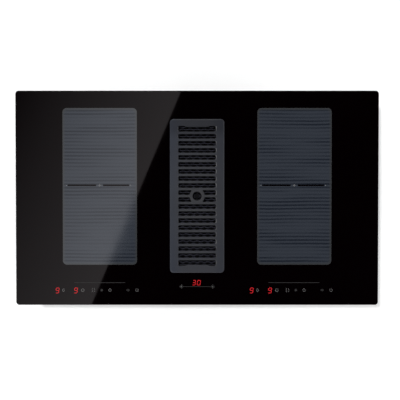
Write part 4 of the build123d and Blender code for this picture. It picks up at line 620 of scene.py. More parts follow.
def make_zone_print(side):
    center, bars = ZONES[side]
    bm = bmesh.new()
    field = [size - 2 * ZONE_RIM for size in ZONE_SIZE]
    outlines = (rounded_box(*ZONE_SIZE, ZONE_CORNER, center, 12),
                rounded_box(*field, FIELD_CORNER, center, 12))
    low, high = [[loop_at(bm, loop, level) for loop in outlines]
                 for level in (PRINT_LOW, PRINT_HIGH)]
    skin_loops(bm, low[0], high[0])
    for face in skin_loops(bm, *high) + skin_loops(bm, *low[::-1]):
        face.smooth = False
    openings = [add_walls(bm, rounded_box(x1 - x0, BAR_HEIGHT, BAR_CORNER,
                                          ((x0 + x1) / 2, BAR_LINE), 3),
                          [(0.0, PRINT_LOW), (0.0, PRINT_HIGH)], hole=True) for x0, x1 in bars]
    fill_flat(bm, [high[1]] + [rings[-1] for rings in openings])
    fill_flat(bm, [low[1]] + [rings[0] for rings in openings])
    mesh = as_mesh(bm, "zone_print_" + side, zone_ink)
    layer = mesh.attributes.new("rim_share", "FLOAT", "POINT")
    for point, item in zip(mesh.vertices, layer.data):
        past_field = max(abs(point.co[k] / MM - center[k]) - field[k] / 2 for k in (0, 1))
        item.value = 1.0 if past_field > ZONE_RIM * 0.3 else 0.0
    place_piece(mesh, "zone_print_" + side, "glass_top", replacing=False)


for side in ZONES:
    make_zone_print(side)

# %% [markdown]
# ## Symbols, slider lines and lit digits
#
# The touch symbols are printed in pale grey strokes less than a millimetre wide. Each symbol is a
# short list of strokes, and a stroke is a line of points that is widened to a ribbon. The digits
# are not printed: they are red seven-segment lamps that shine through the glass, so they are
# glowing plates, leaning to the right as such lamps do.

# %% Stroke helpers
def add_flat(bm, loop, finish=0, low=PRINT_LOW, high=PRINT_HIGH):
    """A thin plate from one outline."""
    before = set(bm.faces)
    skin_stack(bm, [loop_at(bm, loop, level) for level in (low, high)], closed=True)
    for face in set(bm.faces) - before:
        face.smooth = False
        face.material_index = finish


def ribbon(points, width):
    """An open line of points, widened to an outline with square ends."""
    left, right = [], []
    for k, point in enumerate(points):
        first = (point - points[k - 1]).normalized() if k else None
        second = (points[k + 1] - point).normalized() if k < len(points) - 1 else None
        first, second = first or second, second or first
        normal = Vector((-first.y - second.y, first.x + second.x)).normalized()
        reach = width / 2 / max(0.5, normal.dot(Vector((-first.y, first.x))))
        left.append(point + normal * reach)
        right.append(point - normal * reach)
    return right + left[::-1]


def draw_symbol(bm, center, strokes):
    """Draws (points, width, finish) strokes; a width of 0 fills the outline."""
    for points, width, finish in strokes:
        points = [Vector(center) + Vector(p) for p in points]
        add_flat(bm, ribbon(points, width) if width else points, finish)


# %% Symbols
PALE, DIM = 0, 1
DROP = [(0, 4.2), (-1.5, 1.8), (-2.2, -0.4), (-1.6, -2.6), (0, -3.5)]
STAR = [polar(ORIGIN, 2.2 if k % 2 else 3.9, 22.5 * k) for k in range(16)]
HALF_ROUND = [(1.5, -3.0), (2.9, -1.9), (3.5, 0), (2.9, 1.9), (1.5, 3.0)]
VANE = ((0.5, 0.4), (1.2, 2.4), (0.5, 4.0), (-1.3, 4.1))
SYMBOLS = {
    -82.0: [(DROP, 0.65, PALE), ([(-x, y) for x, y in DROP], 0.65, PALE)],
    -35.0: [(arc(ORIGIN, 3.4, 0, 180, 14), 0.5, PALE),
            (arc(ORIGIN, 3.4, 180, 360, 14), 0.75, PALE)],
    -8.5: [([(-1.8, 4.2), (-3.6, 4.2), (-3.6, -4.2), (-1.8, -4.2)], 0.45, PALE),
           ([(1.0, 4.2), (3.0, 2.6), (1.0, 0.9)], 0.45, PALE),
           ([(1.0, -0.9), (3.0, -2.6), (1.0, -4.2)], 0.45, PALE)],
    11.0: [(STAR, 0, DIM)],
    31.0: [(arc(ORIGIN, 3.3, 0, 180, 14), 0.5, PALE),
           (arc(ORIGIN, 3.3, 180, 360, 14), 0.5, PALE),
           ([(0.2, 2.0), (0, 0.2), (1.2, -0.5)], 0.35, PALE)],
    75.0: [([(-x, y) for x, y in HALF_ROUND][::-1], 0, DIM), (HALF_ROUND, 0, DIM),
           (rounded_box(1.2, 6.6, 0.3, ORIGIN, 2), 0, DIM)],
    96.5: [(arc(ORIGIN, 3.4, 125, 415, 24), 0.5, PALE), ([(0, 1.6), (0, 4.0)], 0.5, PALE)]}
FAN = [(quarter_turned(VANE, quarter), 0.38, PALE) for quarter in range(4)]
FAN.append((circle(ORIGIN, 0.6, 10), 0, PALE))
CONTROL_LINE = -224.0
GROUP_CENTERS = (-243.0, 229.0)
GROUP_SLIDER = (123.6, 1.15, 0.5)
GROUP_SLIDER_PLACE = (6.4, -205.8)
FAN_SLIDER = (65.6, 0.95, 0.4)
FAN_SLIDER_PLACE = (-1.2, -215.5)
FAN_PLACES = ((-37.6, -215.4), (37.6, -215.4))

symbol_ink = new_finish("pale_symbol_ink", (0.22, 0.22, 0.23), 0.4)
tint(symbol_ink, [(0.3, 0.17), (0.7, 0.26)], 1500.0, 2.0)
dim_ink = new_finish("dim_symbol_ink", (0.045, 0.045, 0.046), 0.4)
tint(dim_ink, [(0.3, 0.026), (0.7, 0.038)], 1500.0, 2.0)


def make_touch_symbols():
    bm = bmesh.new()
    for group_x in GROUP_CENTERS:
        for offset, strokes in SYMBOLS.items():
            draw_symbol(bm, (group_x + offset, CONTROL_LINE), strokes)
        place = (group_x + GROUP_SLIDER_PLACE[0], GROUP_SLIDER_PLACE[1])
        add_flat(bm, rounded_box(*GROUP_SLIDER, place, 3), DIM)
    for place in FAN_PLACES:
        draw_symbol(bm, place, FAN)
    add_flat(bm, rounded_box(*FAN_SLIDER, FAN_SLIDER_PLACE, 3), DIM)
    finish_piece(bm, "touch_symbols", [symbol_ink, dim_ink], "glass_top", replacing=False)


make_touch_symbols()

# %% Zone marks
DOT_RADIUS = 1.0
DOT_BESIDE_BAR = 3.4
CROSS_BOXES = ((7.0, 1.0, 0.0), (1.0, 2.6, -2.2), (1.0, 2.6, 2.2))
CROSS_CORNER = 0.3
MARK_LOW, MARK_HIGH = PRINT_HIGH - 0.01, PRINT_HIGH + 0.04


def make_zone_marks():
    """Small pale marks at the bars' ends and a cross between them."""
    bm = bmesh.new()
    for _, ((x0, x1), (x2, x3)) in ZONES.values():
        loops = [circle((x, BAR_LINE), DOT_RADIUS, 12)
                 for x in (x0 - DOT_BESIDE_BAR, x3 + DOT_BESIDE_BAR)]
        middle = (x1 + x2) / 2
        loops += [rounded_box(width, depth, CROSS_CORNER, (middle, BAR_LINE + y), 2)
                  for width, depth, y in CROSS_BOXES]
        for loop in loops:
            add_flat(bm, loop, low=MARK_LOW, high=MARK_HIGH)
    finish_piece(bm, "zone_marks", [mark_ink], "glass_top", replacing=False)


make_zone_marks()

# %% Lit digits
SEGMENTS = {"a": ((0.14, 1), (0.86, 1)), "b": ((1, 0.93), (1, 0.57)), "c": ((1, 0.43), (1, 0.07)),
            "d": ((0.14, 0), (0.86, 0)), "e": ((0, 0.43), (0, 0.07)), "f": ((0, 0.93), (0, 0.57)),
            "g": ((0.14, 0.5), (0.86, 0.5))}
LIT = {"9": "abcdfg", "3": "abcdg", "0": "abcdef"}
DIGIT_LEAN = math.tan(math.radians(8))
DIGITS = [("9", (group_x + offset, CONTROL_LINE - 0.8), 8.3, 13.4, 1.1)
          for group_x in GROUP_CENTERS for offset in (-96.6, -51.9)]
DIGITS += [("3", (-7.3, -205.8), 7.4, 12.6, 1.05), ("0", (4.2, -205.8), 8.2, 12.6, 1.05)]

lit_red = new_finish("lit_red_segment", (0.30, 0.004, 0.006), 0.3,
                     more={"Emission Color": (1.0, 0.035, 0.045, 1)})
feed(lit_red, "Emission Strength", spread_of(lit_red, noise_of(lit_red, 260.0, 1.0), 0.48, 0.78))


def add_digit(bm, digit, center, width, height, stroke):
    """The lit segments of one digit."""
    low = Vector(center) - Vector((width - stroke, height - stroke)) / 2
    for name in LIT[digit]:
        start, end = [Vector((low.x + x * (width - stroke), low.y + y * (height - stroke)))
                      for x, y in SEGMENTS[name]]
        along = (end - start).normalized()
        across = Vector((-along.y, along.x)) * stroke / 2
        tip = along * stroke / 2.6
        bar = [start - tip, start - across, end - across, end + tip, end + across, start + across]
        add_flat(bm, [Vector((p.x + (p.y - center[1]) * DIGIT_LEAN, p.y)) for p in bar])


def make_lit_digits():
    bm = bmesh.new()
    for row in DIGITS:
        add_digit(bm, *row)
    finish_piece(bm, "lit_digits", [lit_red], "glass_top", replacing=False)


make_lit_digits()

# %% [markdown]
# ## The cast grille
#
# The grille is an aluminium casting with a matt anthracite coat. Its slots open upwards so that it
# leaves its mould, and every edge is rounded by the coat. It is a plate of loops again: the
# rim's list of offsets is a large quarter-round, and each slot's list is a drafted wall with a
# small round at the top. The end rows step up at both ends, and the two middle rows end at the
# round boss of the finger hole.

# %% Grille finish
# The two ramps below paint light and shade, not the coat's own colour: a cooler left edge, and a
# darker right side and far end.
COAT_PAINTED_SIDE_LIGHT = [(0.06, (0.0370, 0.0420, 0.0540)), (0.24, (0.0425, 0.0440, 0.0500)),
               (0.76, (0.0410, 0.0420, 0.0475)), (0.94, (0.0335, 0.0360, 0.0440))]
COAT_PAINTED_FAR_SHADE = [(0.02, (0.91, 0.92, 0.99)), (0.5, 0.97), (0.88, (0.84, 0.86, 0.93)),
              (0.94, (0.54, 0.56, 0.63))]
COAT_SPECKLE = [(0.3, 0.9), (0.7, 1.0)]
PAINTED_LIGHT_REACH = (66 * MM, 190 * MM)
grille_coat = new_finish("anthracite_coat", (0.036, 0.039, 0.044), 0.42)


def dress_grille_coat():
    """A speckled coat, with painted light and shade: bluer along its left edge, darker to the right
    and at the far end.
    """
    place = node(grille_coat, "SeparateXYZ", {0: object_place(grille_coat)}, None).outputs
    coat = ramp_of(grille_coat, noise_of(grille_coat, 14.0, 3.0), COAT_SPECKLE)
    for axis, reach, stops in zip("XY", PAINTED_LIGHT_REACH, (COAT_PAINTED_SIDE_LIGHT, COAT_PAINTED_FAR_SHADE)):
        share = spread_of(grille_coat, place[axis], 0.0, 1.0, -reach, reach)
        coat = mixed(grille_coat, 1.0, ramp_of(grille_coat, share, stops), coat, "MULTIPLY")
    feed(grille_coat, "Base Color", coat)
    vary(grille_coat, 0.38, 0.5, 60.0, 2.0)
    add_bump(grille_coat, noise_of(grille_coat, 1400.0, 2.0), 0.35, 0.00006)


dress_grille_coat()
# A pale, partly metallic colour on the rounds at the slots' ends: a painted highlight, patchy from
# slot to slot.
slot_end_highlight_paint = new_finish("worn_coat_edge", (0.20, 0.20, 0.205), 0.36, 0.4)
tint(slot_end_highlight_paint, [(0.35, (0.06, 0.06, 0.065)), (0.65, (0.36, 0.36, 0.365))], 110.0, 2.0)

# %% Grille slots
SLOT_ROWS = 20
SLOT_PITCH = 17.0
SLOT_LENGTH = 90.0
SLOT_HEIGHT = 10.2
SLOT_CORNER = 2.6
SLOT_DRAFT = math.tan(math.radians(7))
SLOT_ROUND = 0.9
EAR_LENGTH = 16.0
EAR_STEP = 2.4
EAR_CORNER = 1.0
BOSS_RADIUS = 19.0
BOSS_CORNER = 0.8
HOLE_RADIUS = 11.0


def end_slot(y, way, half, high):
    """The slot of an end row, which steps outwards at both ends."""
    ear, step = half - EAR_LENGTH, high + EAR_STEP
    shape = [(-half, -high), (half, -high), (half, step), (ear, step), (ear, high), (-ear, high),
             (-ear, step), (-half, step)]
    loop = [Vector((x, y + way * h)) for x, h in shape][::way]
    return soften(loop, [SLOT_CORNER if abs(p.x) == half else EAR_CORNER for p in loop])


def slots_beside_boss(y, half, high):
    """The two slots that end at the round boss."""
    near, far = sorted((abs(y - high), abs(y + high)))
    turns = [math.degrees(math.asin(reach / BOSS_RADIUS)) for reach in (far, near)]
    inner = arc(ORIGIN, BOSS_RADIUS, *turns, 6)
    quarter = inner + [Vector((half, near)), Vector((half, far))]
    radii = [BOSS_CORNER] + [0] * (len(inner) - 2) + [BOSS_CORNER] + [SLOT_CORNER] * 2
    for sx in (1, -1):
        way = 1 if sx * y > 0 else -1
        loop = [Vector((sx * p.x, math.copysign(p.y, y))) for p in quarter]
        yield soften(loop[::way], radii[::way])


def slot_outlines(row):
    """The slots of one row, from below: one, or two beside the boss."""
    y = (row - (SLOT_ROWS - 1) / 2) * SLOT_PITCH
    half, high = SLOT_LENGTH / 2, SLOT_HEIGHT / 2
    if row in (0, SLOT_ROWS - 1):
        return [end_slot(y, 1 if row else -1, half, high)]
    if abs(y) < SLOT_PITCH:
        return list(slots_beside_boss(y, half, high))
    return [rounded_box(SLOT_LENGTH, SLOT_HEIGHT, SLOT_CORNER, (0, y), 4)]


# %% Grille casting
GRILLE_WIDTH, GRILLE_DEPTH, GRILLE_CENTER, GRILLE_LOW, GRILLE_HIGH = plan_of("vent_grille")
GRILLE_CORNER = 9.0
GRILLE_ROUND = 3.6
HOLE_ROUND = 1.3
LOW_CHAMFER = 0.5
HIGHLIGHT_REACH = 2.5


def gets_painted_highlight(face):
    """Whether this face gets the painted highlight: the rounds at the slots' right ends, and the
    side-facing part of those at their left ends.
    """
    middle = face.calc_center_median() / MM
    at_end = SLOT_LENGTH / 2 < abs(middle.x) < SLOT_LENGTH / 2 + HIGHLIGHT_REACH
    in_round = face.smooth and middle.z > GRILLE_HIGH - SLOT_ROUND
    return at_end and in_round and (middle.x > 0 or abs(face.normal.x) > 0.8)


def make_grille_casting():
    bm = bmesh.new()
    flare = SLOT_DRAFT * (GRILLE_HIGH - GRILLE_LOW)
    slot_rim = [(0.0, GRILLE_LOW)] + [(offset - flare, height) for offset, height in
                                      quarter_round(SLOT_ROUND, GRILLE_HIGH, 4)]
    rim = [(-LOW_CHAMFER, GRILLE_LOW), (0.0, GRILLE_LOW + LOW_CHAMFER)]
    rim += quarter_round(GRILLE_ROUND, GRILLE_HIGH, 8)
    hole_rim = [(0.0, GRILLE_LOW)] + quarter_round(HOLE_ROUND, GRILLE_HIGH, 5)
    holes = [(loop, slot_rim) for row in range(SLOT_ROWS) for loop in slot_outlines(row)]
    holes.append((circle(ORIGIN, HOLE_RADIUS, 48), hole_rim))
    add_plate(bm, rounded_box(GRILLE_WIDTH, GRILLE_DEPTH, GRILLE_CORNER, ORIGIN, 10), rim, holes)
    for face in bm.faces:
        face.material_index = int(gets_painted_highlight(face))
    bmesh.ops.translate(bm, verts=bm.verts, vec=Vector((*GRILLE_CENTER, 0)) * MM)
    finish_piece(bm, "grille_casting", [grille_coat, slot_end_highlight_paint], "vent_grille")


make_grille_casting()

# %% [markdown]
# ## Geometry Nodes helpers
#
# What repeats by a rule is grown by a node tree: the strands of the filter's metal, the wires of
# its pad, the screws. The tree is built here, its sizes are named inputs, and its result is taken
# as a plain mesh, so no live modifier is left on the piece.

# %% Tree helpers
def new_tree(name, inputs):
    """A Geometry Nodes tree with inputs of the given kinds."""
    tree = bpy.data.node_groups.new(name, "GeometryNodeTree")
    for label, kind in {"Geometry": "Geometry", **inputs, "Material": "Material"}.items():
        tree.interface.new_socket(label, in_out="INPUT", socket_type="NodeSocket" + kind)
    tree.interface.new_socket("Geometry", in_out="OUTPUT", socket_type="NodeSocketGeometry")
    tree.nodes.new("NodeGroupInput")
    return tree


def given(tree, *names):
    """The inputs with these names, one or several."""
    found = [Number(tree, tree.nodes["Group Input"].outputs[name]) for name in names]
    return found if len(found) > 1 else found[0]


def grow(tree, kind, links=(), out=0, **settings):
    return node(tree, "GeometryNode" + kind, links, out, **settings)


def point_of(tree, x=0.0, y=0.0, z=0.0, add=(0, 0, 0)):
    point = node(tree, "CombineXYZ", {"X": x, "Y": y, "Z": z})
    return node(tree, "VectorMath", {0: point, 1: add}, operation="ADD")


def index_of(tree):
    return Number(tree, grow(tree, "InputIndex"))


def bent_line(tree, *place):
    """A curve whose points lie where the formulas put them."""
    line = grow(tree, "MeshLine", {"Count": given(tree, "Samples"), "Offset": (1, 0, 0)})
    moved = grow(tree, "SetPosition", {"Geometry": line, "Position": point_of(tree, *place)})
    return grow(tree, "MeshToCurve", {"Mesh": moved})


def swept(tree, curve, section, links):
    """A solid wire or strand: a section that follows a curve."""
    profile = grow(tree, "CurvePrimitive" + section, links)
    return grow(tree, "CurveToMesh", {"Curve": curve, "Profile Curve": profile,
                                      "Fill Caps": True})


def in_rows(tree, instance, middle=(0, 0, 0), picking=()):
    """Copies at an even pitch along Y."""
    rows, pitch = given(tree, "Rows", "Row Pitch")
    start = point_of(tree, y=(rows - 1.0) * (pitch * -0.5), add=middle)
    line = grow(tree, "MeshLine", {"Count": rows, "Start Location": start,
                                   "Offset": point_of(tree, y=pitch)})
    return grow(tree, "InstanceOnPoints", {"Points": line, "Instance": instance,
                                           **dict(picking)})


def joined(tree, parts):
    join = grow(tree, "JoinGeometry", out=None)
    for part in parts:
        tree.links.new(part, join.inputs[0])
    return join.outputs[0]


def end_tree(tree, geometry):
    """Every tree ends in Realize Instances and Set Material."""
    real = grow(tree, "RealizeInstances", {"Geometry": geometry})
    dressed = grow(tree, "SetMaterial", {"Geometry": real, "Material": given(tree, "Material")})
    node(tree, "NodeGroupOutput", {0: dressed}, None)
    return tree


def evaluated(host, name):
    """The host's mesh with its modifiers applied, as a plain mesh."""
    graph = bpy.context.evaluated_depsgraph_get()
    mesh = bpy.data.meshes.new_from_object(host.evaluated_get(graph))
    mesh.name = name
    bpy.data.objects.remove(host)
    return mesh


def grown_mesh(tree, name, seed, values):
    """Runs the tree on a mesh and keeps the result as a plain mesh."""
    host = linked(name + "_host", seed)
    modifier = host.modifiers.new("growth", "NODES")
    modifier.node_group = tree
    for item in tree.interface.items_tree:
        if item.in_out == "INPUT" and item.name in values:
            modifier[item.identifier] = values[item.name]
    return evaluated(host, name)


# %% [markdown]
# ## The grease filter's panel
#
# The panel is expanded metal: a sheet that is slit and pulled, so that it opens into rows of long
# diamonds. Each row of metal left between two rows of holes is one wavy strand, and the strands
# join where their waves meet. So one strand is made as a curve with a rectangular section, tilted
# as the slitting leaves it, and copied row by row, every second one half a wave on.

# %% Expanded metal
# The strands are coloured far darker than bare steel, which paints the shade inside the grille's
# slots.
strand_painted_shade = new_finish("slit_steel_strand", (0.10, 0.10, 0.11), 0.45, 0.2)
tint(strand_painted_shade, [(0.3, (0.070, 0.070, 0.100)), (0.7, (0.112, 0.112, 0.155))], 160.0, 3.0)
vary(strand_painted_shade, 0.36, 0.55, 240.0, 2.0)

CELL_LENGTH = 17.4
ROW_PITCH = 5.67
PANEL_MARGIN = (1.6, 4.0)
SAMPLES_PER_CELL = 16
BOND_STEEPNESS = 1.6


def strand_of(tree, phase):
    """One strand along X, its wave shifted by a share of a cell."""
    cell = given(tree, "Cell Length")
    along = (index_of(tree) - given(tree, "Samples") * 0.5) * (cell / SAMPLES_PER_CELL)
    swing = (along / cell + phase).then("PINGPONG", 0.5) - 0.25
    level = (swing * (4.0 * BOND_STEEPNESS)).then("MAXIMUM", -1.0).then("MINIMUM", 1.0)
    curve = bent_line(tree, along, level * given(tree, "Wave"))
    upright = grow(tree, "SetCurveNormal", {"Curve": curve}, mode="Z_UP")
    tilted = grow(tree, "SetCurveTilt", {"Curve": upright, "Tilt": given(tree, "Tilt")})
    return grow(tree, "GeometryToInstance", {0: swept(tree, tilted, "Quadrilateral", {
        "Width": given(tree, "Strand Thickness"), "Height": given(tree, "Strand Width")})})


def expanded_metal_tree():
    tree = new_tree("expanded_metal", {
        "Samples": "Int", "Rows": "Int", "Cell Length": "Float", "Row Pitch": "Float",
        "Wave": "Float", "Tilt": "Float", "Strand Width": "Float",
        "Strand Thickness": "Float", "Middle": "Vector"})
    strands = joined(tree, [strand_of(tree, phase) for phase in (0.0, 0.5)])
    every_second = index_of(tree).then("MODULO", 2.0)
    return end_tree(tree, in_rows(tree, strands, given(tree, "Middle"), {
        "Pick Instance": True, "Instance Index": every_second}))


def make_expanded_panel():
    width, depth, center, low, high = plan_of("filter_panel")
    mesh = grown_mesh(expanded_metal_tree(), "expanded_panel", bpy.data.meshes.new("panel_seed"), {
        "Samples": int((width - PANEL_MARGIN[0]) / (CELL_LENGTH / SAMPLES_PER_CELL)),
        "Rows": int((depth - PANEL_MARGIN[1]) / ROW_PITCH), "Cell Length": CELL_LENGTH * MM,
        "Row Pitch": ROW_PITCH * MM, "Wave": 0.9 * MM, "Tilt": 0.2, "Strand Width": 3.8 * MM,
        "Strand Thickness": 0.8 * MM, "Material": strand_painted_shade,
        "Middle": Vector((*center, (low + high) / 2)) * MM})
    place_piece(mesh, "expanded_panel", "filter_panel")


make_expanded_panel()

# %% [markdown]
# ## The filter's pad
#
# Under the panel lies a pad of knitted wire, in which the grease settles. Knitting is loops hooked
# in courses, and one course follows a known curve: along it the wire swings to and fro, and at
# twice that rate it also runs ahead and back. The tree bends one line by that rule, gives it a
# thin round section, and lays it in courses over and under a dark core. Bare wire is a mirror, so
# below a dark ceiling the pad looks nearly black with a few glints; the core and the wire are also
# coloured far darker than bare metal, which is painted shade.

# %% Knitted pad
# Core and wire are coloured far darker than bare metal: painted shade inside the pad.
pad_core_painted_shade = new_finish("packed_wire_core", (0.010, 0.010, 0.0105), 0.75)
tint(pad_core_painted_shade, [(0.35, 0.0008), (0.65, 0.003)], 420.0, 4.0)
add_bump(pad_core_painted_shade, noise_of(pad_core_painted_shade, 520.0, 4.0), 0.8, 0.0008)
knit_wire_painted_shade = new_finish("knitted_wire", (0.05, 0.05, 0.055), 0.3, 1.0)
tint(knit_wire_painted_shade, [(0.3, (0.02, 0.02, 0.022)), (0.7, (0.065, 0.065, 0.07))], 90.0, 3.0)

STITCH = 7.0
COURSE_PITCH = 5.0
COURSE_MARGIN = (5.0, 9.0)
SAMPLES_PER_STITCH = 10
LOOP_RISE = 1.6
CRUSH_SCALE = 70.0
CRUSH_FLATNESS = 0.22
CORE_SINK = 1.6
WIRE_SINK = 0.95


def knitted_course_tree():
    tree = new_tree("knitted_course", {
        "Samples": "Int", "Rows": "Int", "Stitch": "Float", "Row Pitch": "Float",
        "Loop Height": "Float", "Loop Lean": "Float", "Wire Radius": "Float",
        "Crush": "Float", "Middle": "Vector", "Depth": "Float"})
    samples, stitch, loop_height, loop_lean, radius, crush, middle, thickness = given(
        tree, "Samples", "Stitch", "Loop Height", "Loop Lean", "Wire Radius", "Crush", "Middle",
        "Depth")
    steps = index_of(tree) - samples * 0.5
    turn = steps * (2 * math.pi / SAMPLES_PER_STITCH)
    twice = turn * 2.0
    ahead = steps / SAMPLES_PER_STITCH * stitch
    course = bent_line(tree, ahead + twice.then("SINE") * loop_lean,
                       turn.then("COSINE") * loop_height,
                       twice.then("COSINE") * (radius * LOOP_RISE))
    flat = grow(tree, "RealizeInstances", {"Geometry": in_rows(tree, course)})
    lump = node(tree, "TexNoise", {"Vector": grow(tree, "InputPosition"), "Scale": CRUSH_SCALE,
                                   "Detail": 1.0}, "Color")
    shift = node(tree, "VectorMath", {0: lump, 1: (0.5, 0.5, 0.5)}, operation="SUBTRACT")
    reach = point_of(tree, crush, crush, crush * CRUSH_FLATNESS)
    push = node(tree, "VectorMath", {0: shift, 1: reach}, operation="MULTIPLY")
    crushed = grow(tree, "SetPosition", {"Geometry": flat, "Offset": push})
    wires = swept(tree, crushed, "Circle", {"Resolution": 3, "Radius": radius})
    return end_tree(tree, joined(tree, [grow(tree, "Transform", {
        "Geometry": wires, "Translation": point_of(tree, z=thickness * share, add=middle)})
        for share in (0.5, -0.5)]))


def make_pad():
    width, depth, center, low, high = plan_of("filter_media")
    bm = bmesh.new()
    edge = [(-2.0, CORE_SINK), (-0.6, CORE_SINK + 0.6), (0, CORE_SINK + 2.0)]
    rim = [(o, low + z) for o, z in edge] + [(o, high - z) for o, z in edge[::-1]]
    add_plate(bm, rounded_box(width - 1.0, depth - 1.0, 4.0, center, 5), rim)
    finish_piece(bm, "pad_core", [pad_core_painted_shade], "filter_media")
    mesh = grown_mesh(knitted_course_tree(), "knitted_wires", bpy.data.meshes.new("pad_seed"), {
        "Samples": int((width - COURSE_MARGIN[0]) / STITCH * SAMPLES_PER_STITCH),
        "Rows": int((depth - COURSE_MARGIN[1]) / COURSE_PITCH), "Stitch": STITCH * MM,
        "Row Pitch": COURSE_PITCH * MM, "Loop Height": 3.5 * MM, "Loop Lean": 1.5 * MM,
        "Wire Radius": 0.28 * MM, "Crush": 2.2 * MM, "Depth": (high - low - 2 * WIRE_SINK) * MM,
        "Material": knit_wire_painted_shade, "Middle": Vector((*center, (low + high) / 2)) * MM})
    place_piece(mesh, "knitted_wires", "filter_media", replacing=False)


make_pad()

# %% [markdown]
# ## Finishes of the hidden and half-hidden parts
#
# Under the glass the parts are folded galvanised steel, stainless sheet, moulded plastics, boards,
# ferrite, mica and copper. Most finishes are the same idea with other numbers: two near tones in a
# soft pattern, a roughness that varies, and fine relief. A few need their own pattern: the zinc
# flowers of galvanised steel, the brushing of stainless sheet and the tracks of a board.

# %% Patterned finishes
def grained(name, color, roughness, metallic=0.0, contrast=0.12, broad=12.0, fine=900.0,
            relief=0.00005, stretch=(1, 1, 1)):
    """Two near tones in a broad pattern, varied roughness and fine relief."""
    finish = new_finish(name, color, roughness, metallic)
    dark, light = [tuple(part * (1 + sign * contrast) for part in color) for sign in (-1, 1)]
    tint(finish, [(0.32, dark), (0.68, light)], broad, 3.0, stretch)
    vary(finish, max(0.05, roughness - 0.07), min(1.0, roughness + 0.07), broad * 4, 2.0, stretch)
    add_bump(finish, noise_of(finish, fine, 2.0, stretch), 0.5, relief)
    return finish


def brushed(name, color, roughness, stretch):
    """Metal with fine scratches in one direction."""
    return grained(name, color, roughness, 0.9, 0.10, 30.0, 60.0, 0.00003, stretch)


def zinc_flowers():
    """Hot-dip galvanised sheet: crystals a centimetre wide, each with its own tone and gloss."""
    finish = new_finish("galvanised_sheet", (0.50, 0.52, 0.53), 0.38, 0.85)
    cells = node(finish, "TexVoronoi", {"Vector": object_place(finish), "Scale": 105.0}, "Color")
    split = node(finish, "SeparateColor", {0: cells}, None).outputs
    feed(finish, "Base Color", ramp_of(finish, split[0], [
        (0.0, (0.43, 0.45, 0.465)), (0.5, (0.50, 0.52, 0.53)), (1.0, (0.58, 0.60, 0.61))]))
    feed(finish, "Roughness", spread_of(finish, split[1], 0.30, 0.50))
    add_bump(finish, noise_of(finish, 700.0, 2.0), 0.3, 0.00004)
    return finish


def board_tracks():
    """Green lacquer over copper tracks, with bare pads."""
    finish = new_finish("green_board", (0.02, 0.11, 0.05), 0.35)
    tracks = node(finish, "TexBrick", {
        "Vector": object_place(finish), "Scale": 90.0, "Mortar Size": 0.03,
        "Color1": (0.012, 0.085, 0.038, 1), "Color2": (0.016, 0.10, 0.045, 1),
        "Mortar": (0.045, 0.19, 0.085, 1)}, None).outputs
    feed(finish, "Base Color", tracks["Color"])
    add_bump(finish, tracks["Fac"], 0.4, 0.00006)
    return finish


# %% Finish of each material slot
FINISHES = {
    "foam_tape": grained("sealing_foam", (0.030, 0.030, 0.031), 0.9, fine=1600, relief=0.0002),
    "galvanised_steel": zinc_flowers(),
    "screw_steel": grained("zinc_plated_screw", (0.56, 0.55, 0.51), 0.3, 0.9),
    "spring_steel": brushed("spring_strip", (0.50, 0.50, 0.52), 0.26, (1, 14, 14)),
    "stainless_steel": brushed("brushed_stainless", (0.42, 0.42, 0.43), 0.33, (14, 14, 1)),
    "pull_plastic": grained("satin_black_pull", (0.009, 0.009, 0.010), 0.45),
    "silicone_black": grained("black_silicone", (0.018, 0.018, 0.019), 0.62, relief=0.00003),
    "mica": grained("pressed_mica", (0.50, 0.45, 0.36), 0.45, 0.0, 0.28, 55.0, 300.0, 0.0001,
                    (1, 1, 0.2)),
    "white_plastic": grained("natural_nylon", (0.66, 0.66, 0.63), 0.5),
    "ferrite": grained("sintered_ferrite", (0.045, 0.045, 0.047), 0.55, 0.0, 0.25, 120.0),
    "sensor_ceramic": grained("sensor_ceramic", (0.70, 0.68, 0.62), 0.4),
    "component_plastic": grained("component_case", (0.10, 0.10, 0.12), 0.45, 0.0, 0.3, 6.0),
    "circuit_board": board_tracks(),
    "black_plastic": grained("glass_filled_black", (0.024, 0.024, 0.026), 0.5, 0.0, 0.15, 20.0,
                             1500.0, 0.00008),
    "contact_foam": grained("conductive_foam", (0.07, 0.07, 0.07), 0.85, relief=0.0002),
    "terminal_plastic": grained("grey_terminal", (0.52, 0.52, 0.49), 0.45),
    "scroll_plastic": grained("moulded_fan_housing", (0.046, 0.048, 0.051), 0.46, 0.0, 0.14, 9.0,
                              1100.0, 0.00008),
    "wheel_plastic": grained("moulded_wheel", (0.115, 0.115, 0.12), 0.4, 0.0, 0.08, 14.0),
    "motor_paint": grained("motor_enamel", (0.032, 0.032, 0.036), 0.3, 0.1),
    "bearing_steel": grained("ground_steel", (0.58, 0.58, 0.58), 0.2, 1.0, 0.05),
    "drawer_plastic": grained("moulded_drawer", (0.050, 0.050, 0.053), 0.48, 0.0, 0.12, 10.0,
                              1200.0, 0.00008),
    "plate_aluminium": brushed("aluminium_sheet", (0.60, 0.61, 0.62), 0.35, (1, 12, 12)),
    "bare_aluminium": brushed("drawn_aluminium", (0.60, 0.61, 0.62), 0.38, (12, 1, 12)),
    "litz_copper": grained("stranded_copper", (0.36, 0.14, 0.055), 0.38, 0.5, 0.25, 40.0, 1300.0,
                           0.0002),
    "black_glass_ceramic": glass_black, "mesh_steel": strand_painted_shade, "knitted_aluminium": knit_wire_painted_shade,
    "anthracite_grille": grille_coat}


def dress_part(item, finish):
    """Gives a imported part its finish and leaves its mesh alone."""
    if not item.material_slots:
        item.data.materials.append(finish)
    for material_slot in item.material_slots:
        material_slot.material = finish


for part, item in frame["nodes"].items():
    dress_part(item, FINISHES[SLOT_OF[part]])
print("finishes", len(FINISHES))

# %% [markdown]
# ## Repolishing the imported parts
#
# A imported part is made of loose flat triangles, so its curves show facets and its edges are razor
# sharp. A real sheet, casting or moulding has a small radius on every edge, and that radius is
# what catches the light. So a copy of the part is merged into whole faces, its sharp edges get
# a narrow bevel, and its curves are shaded smooth. The copy lies exactly where the part is.

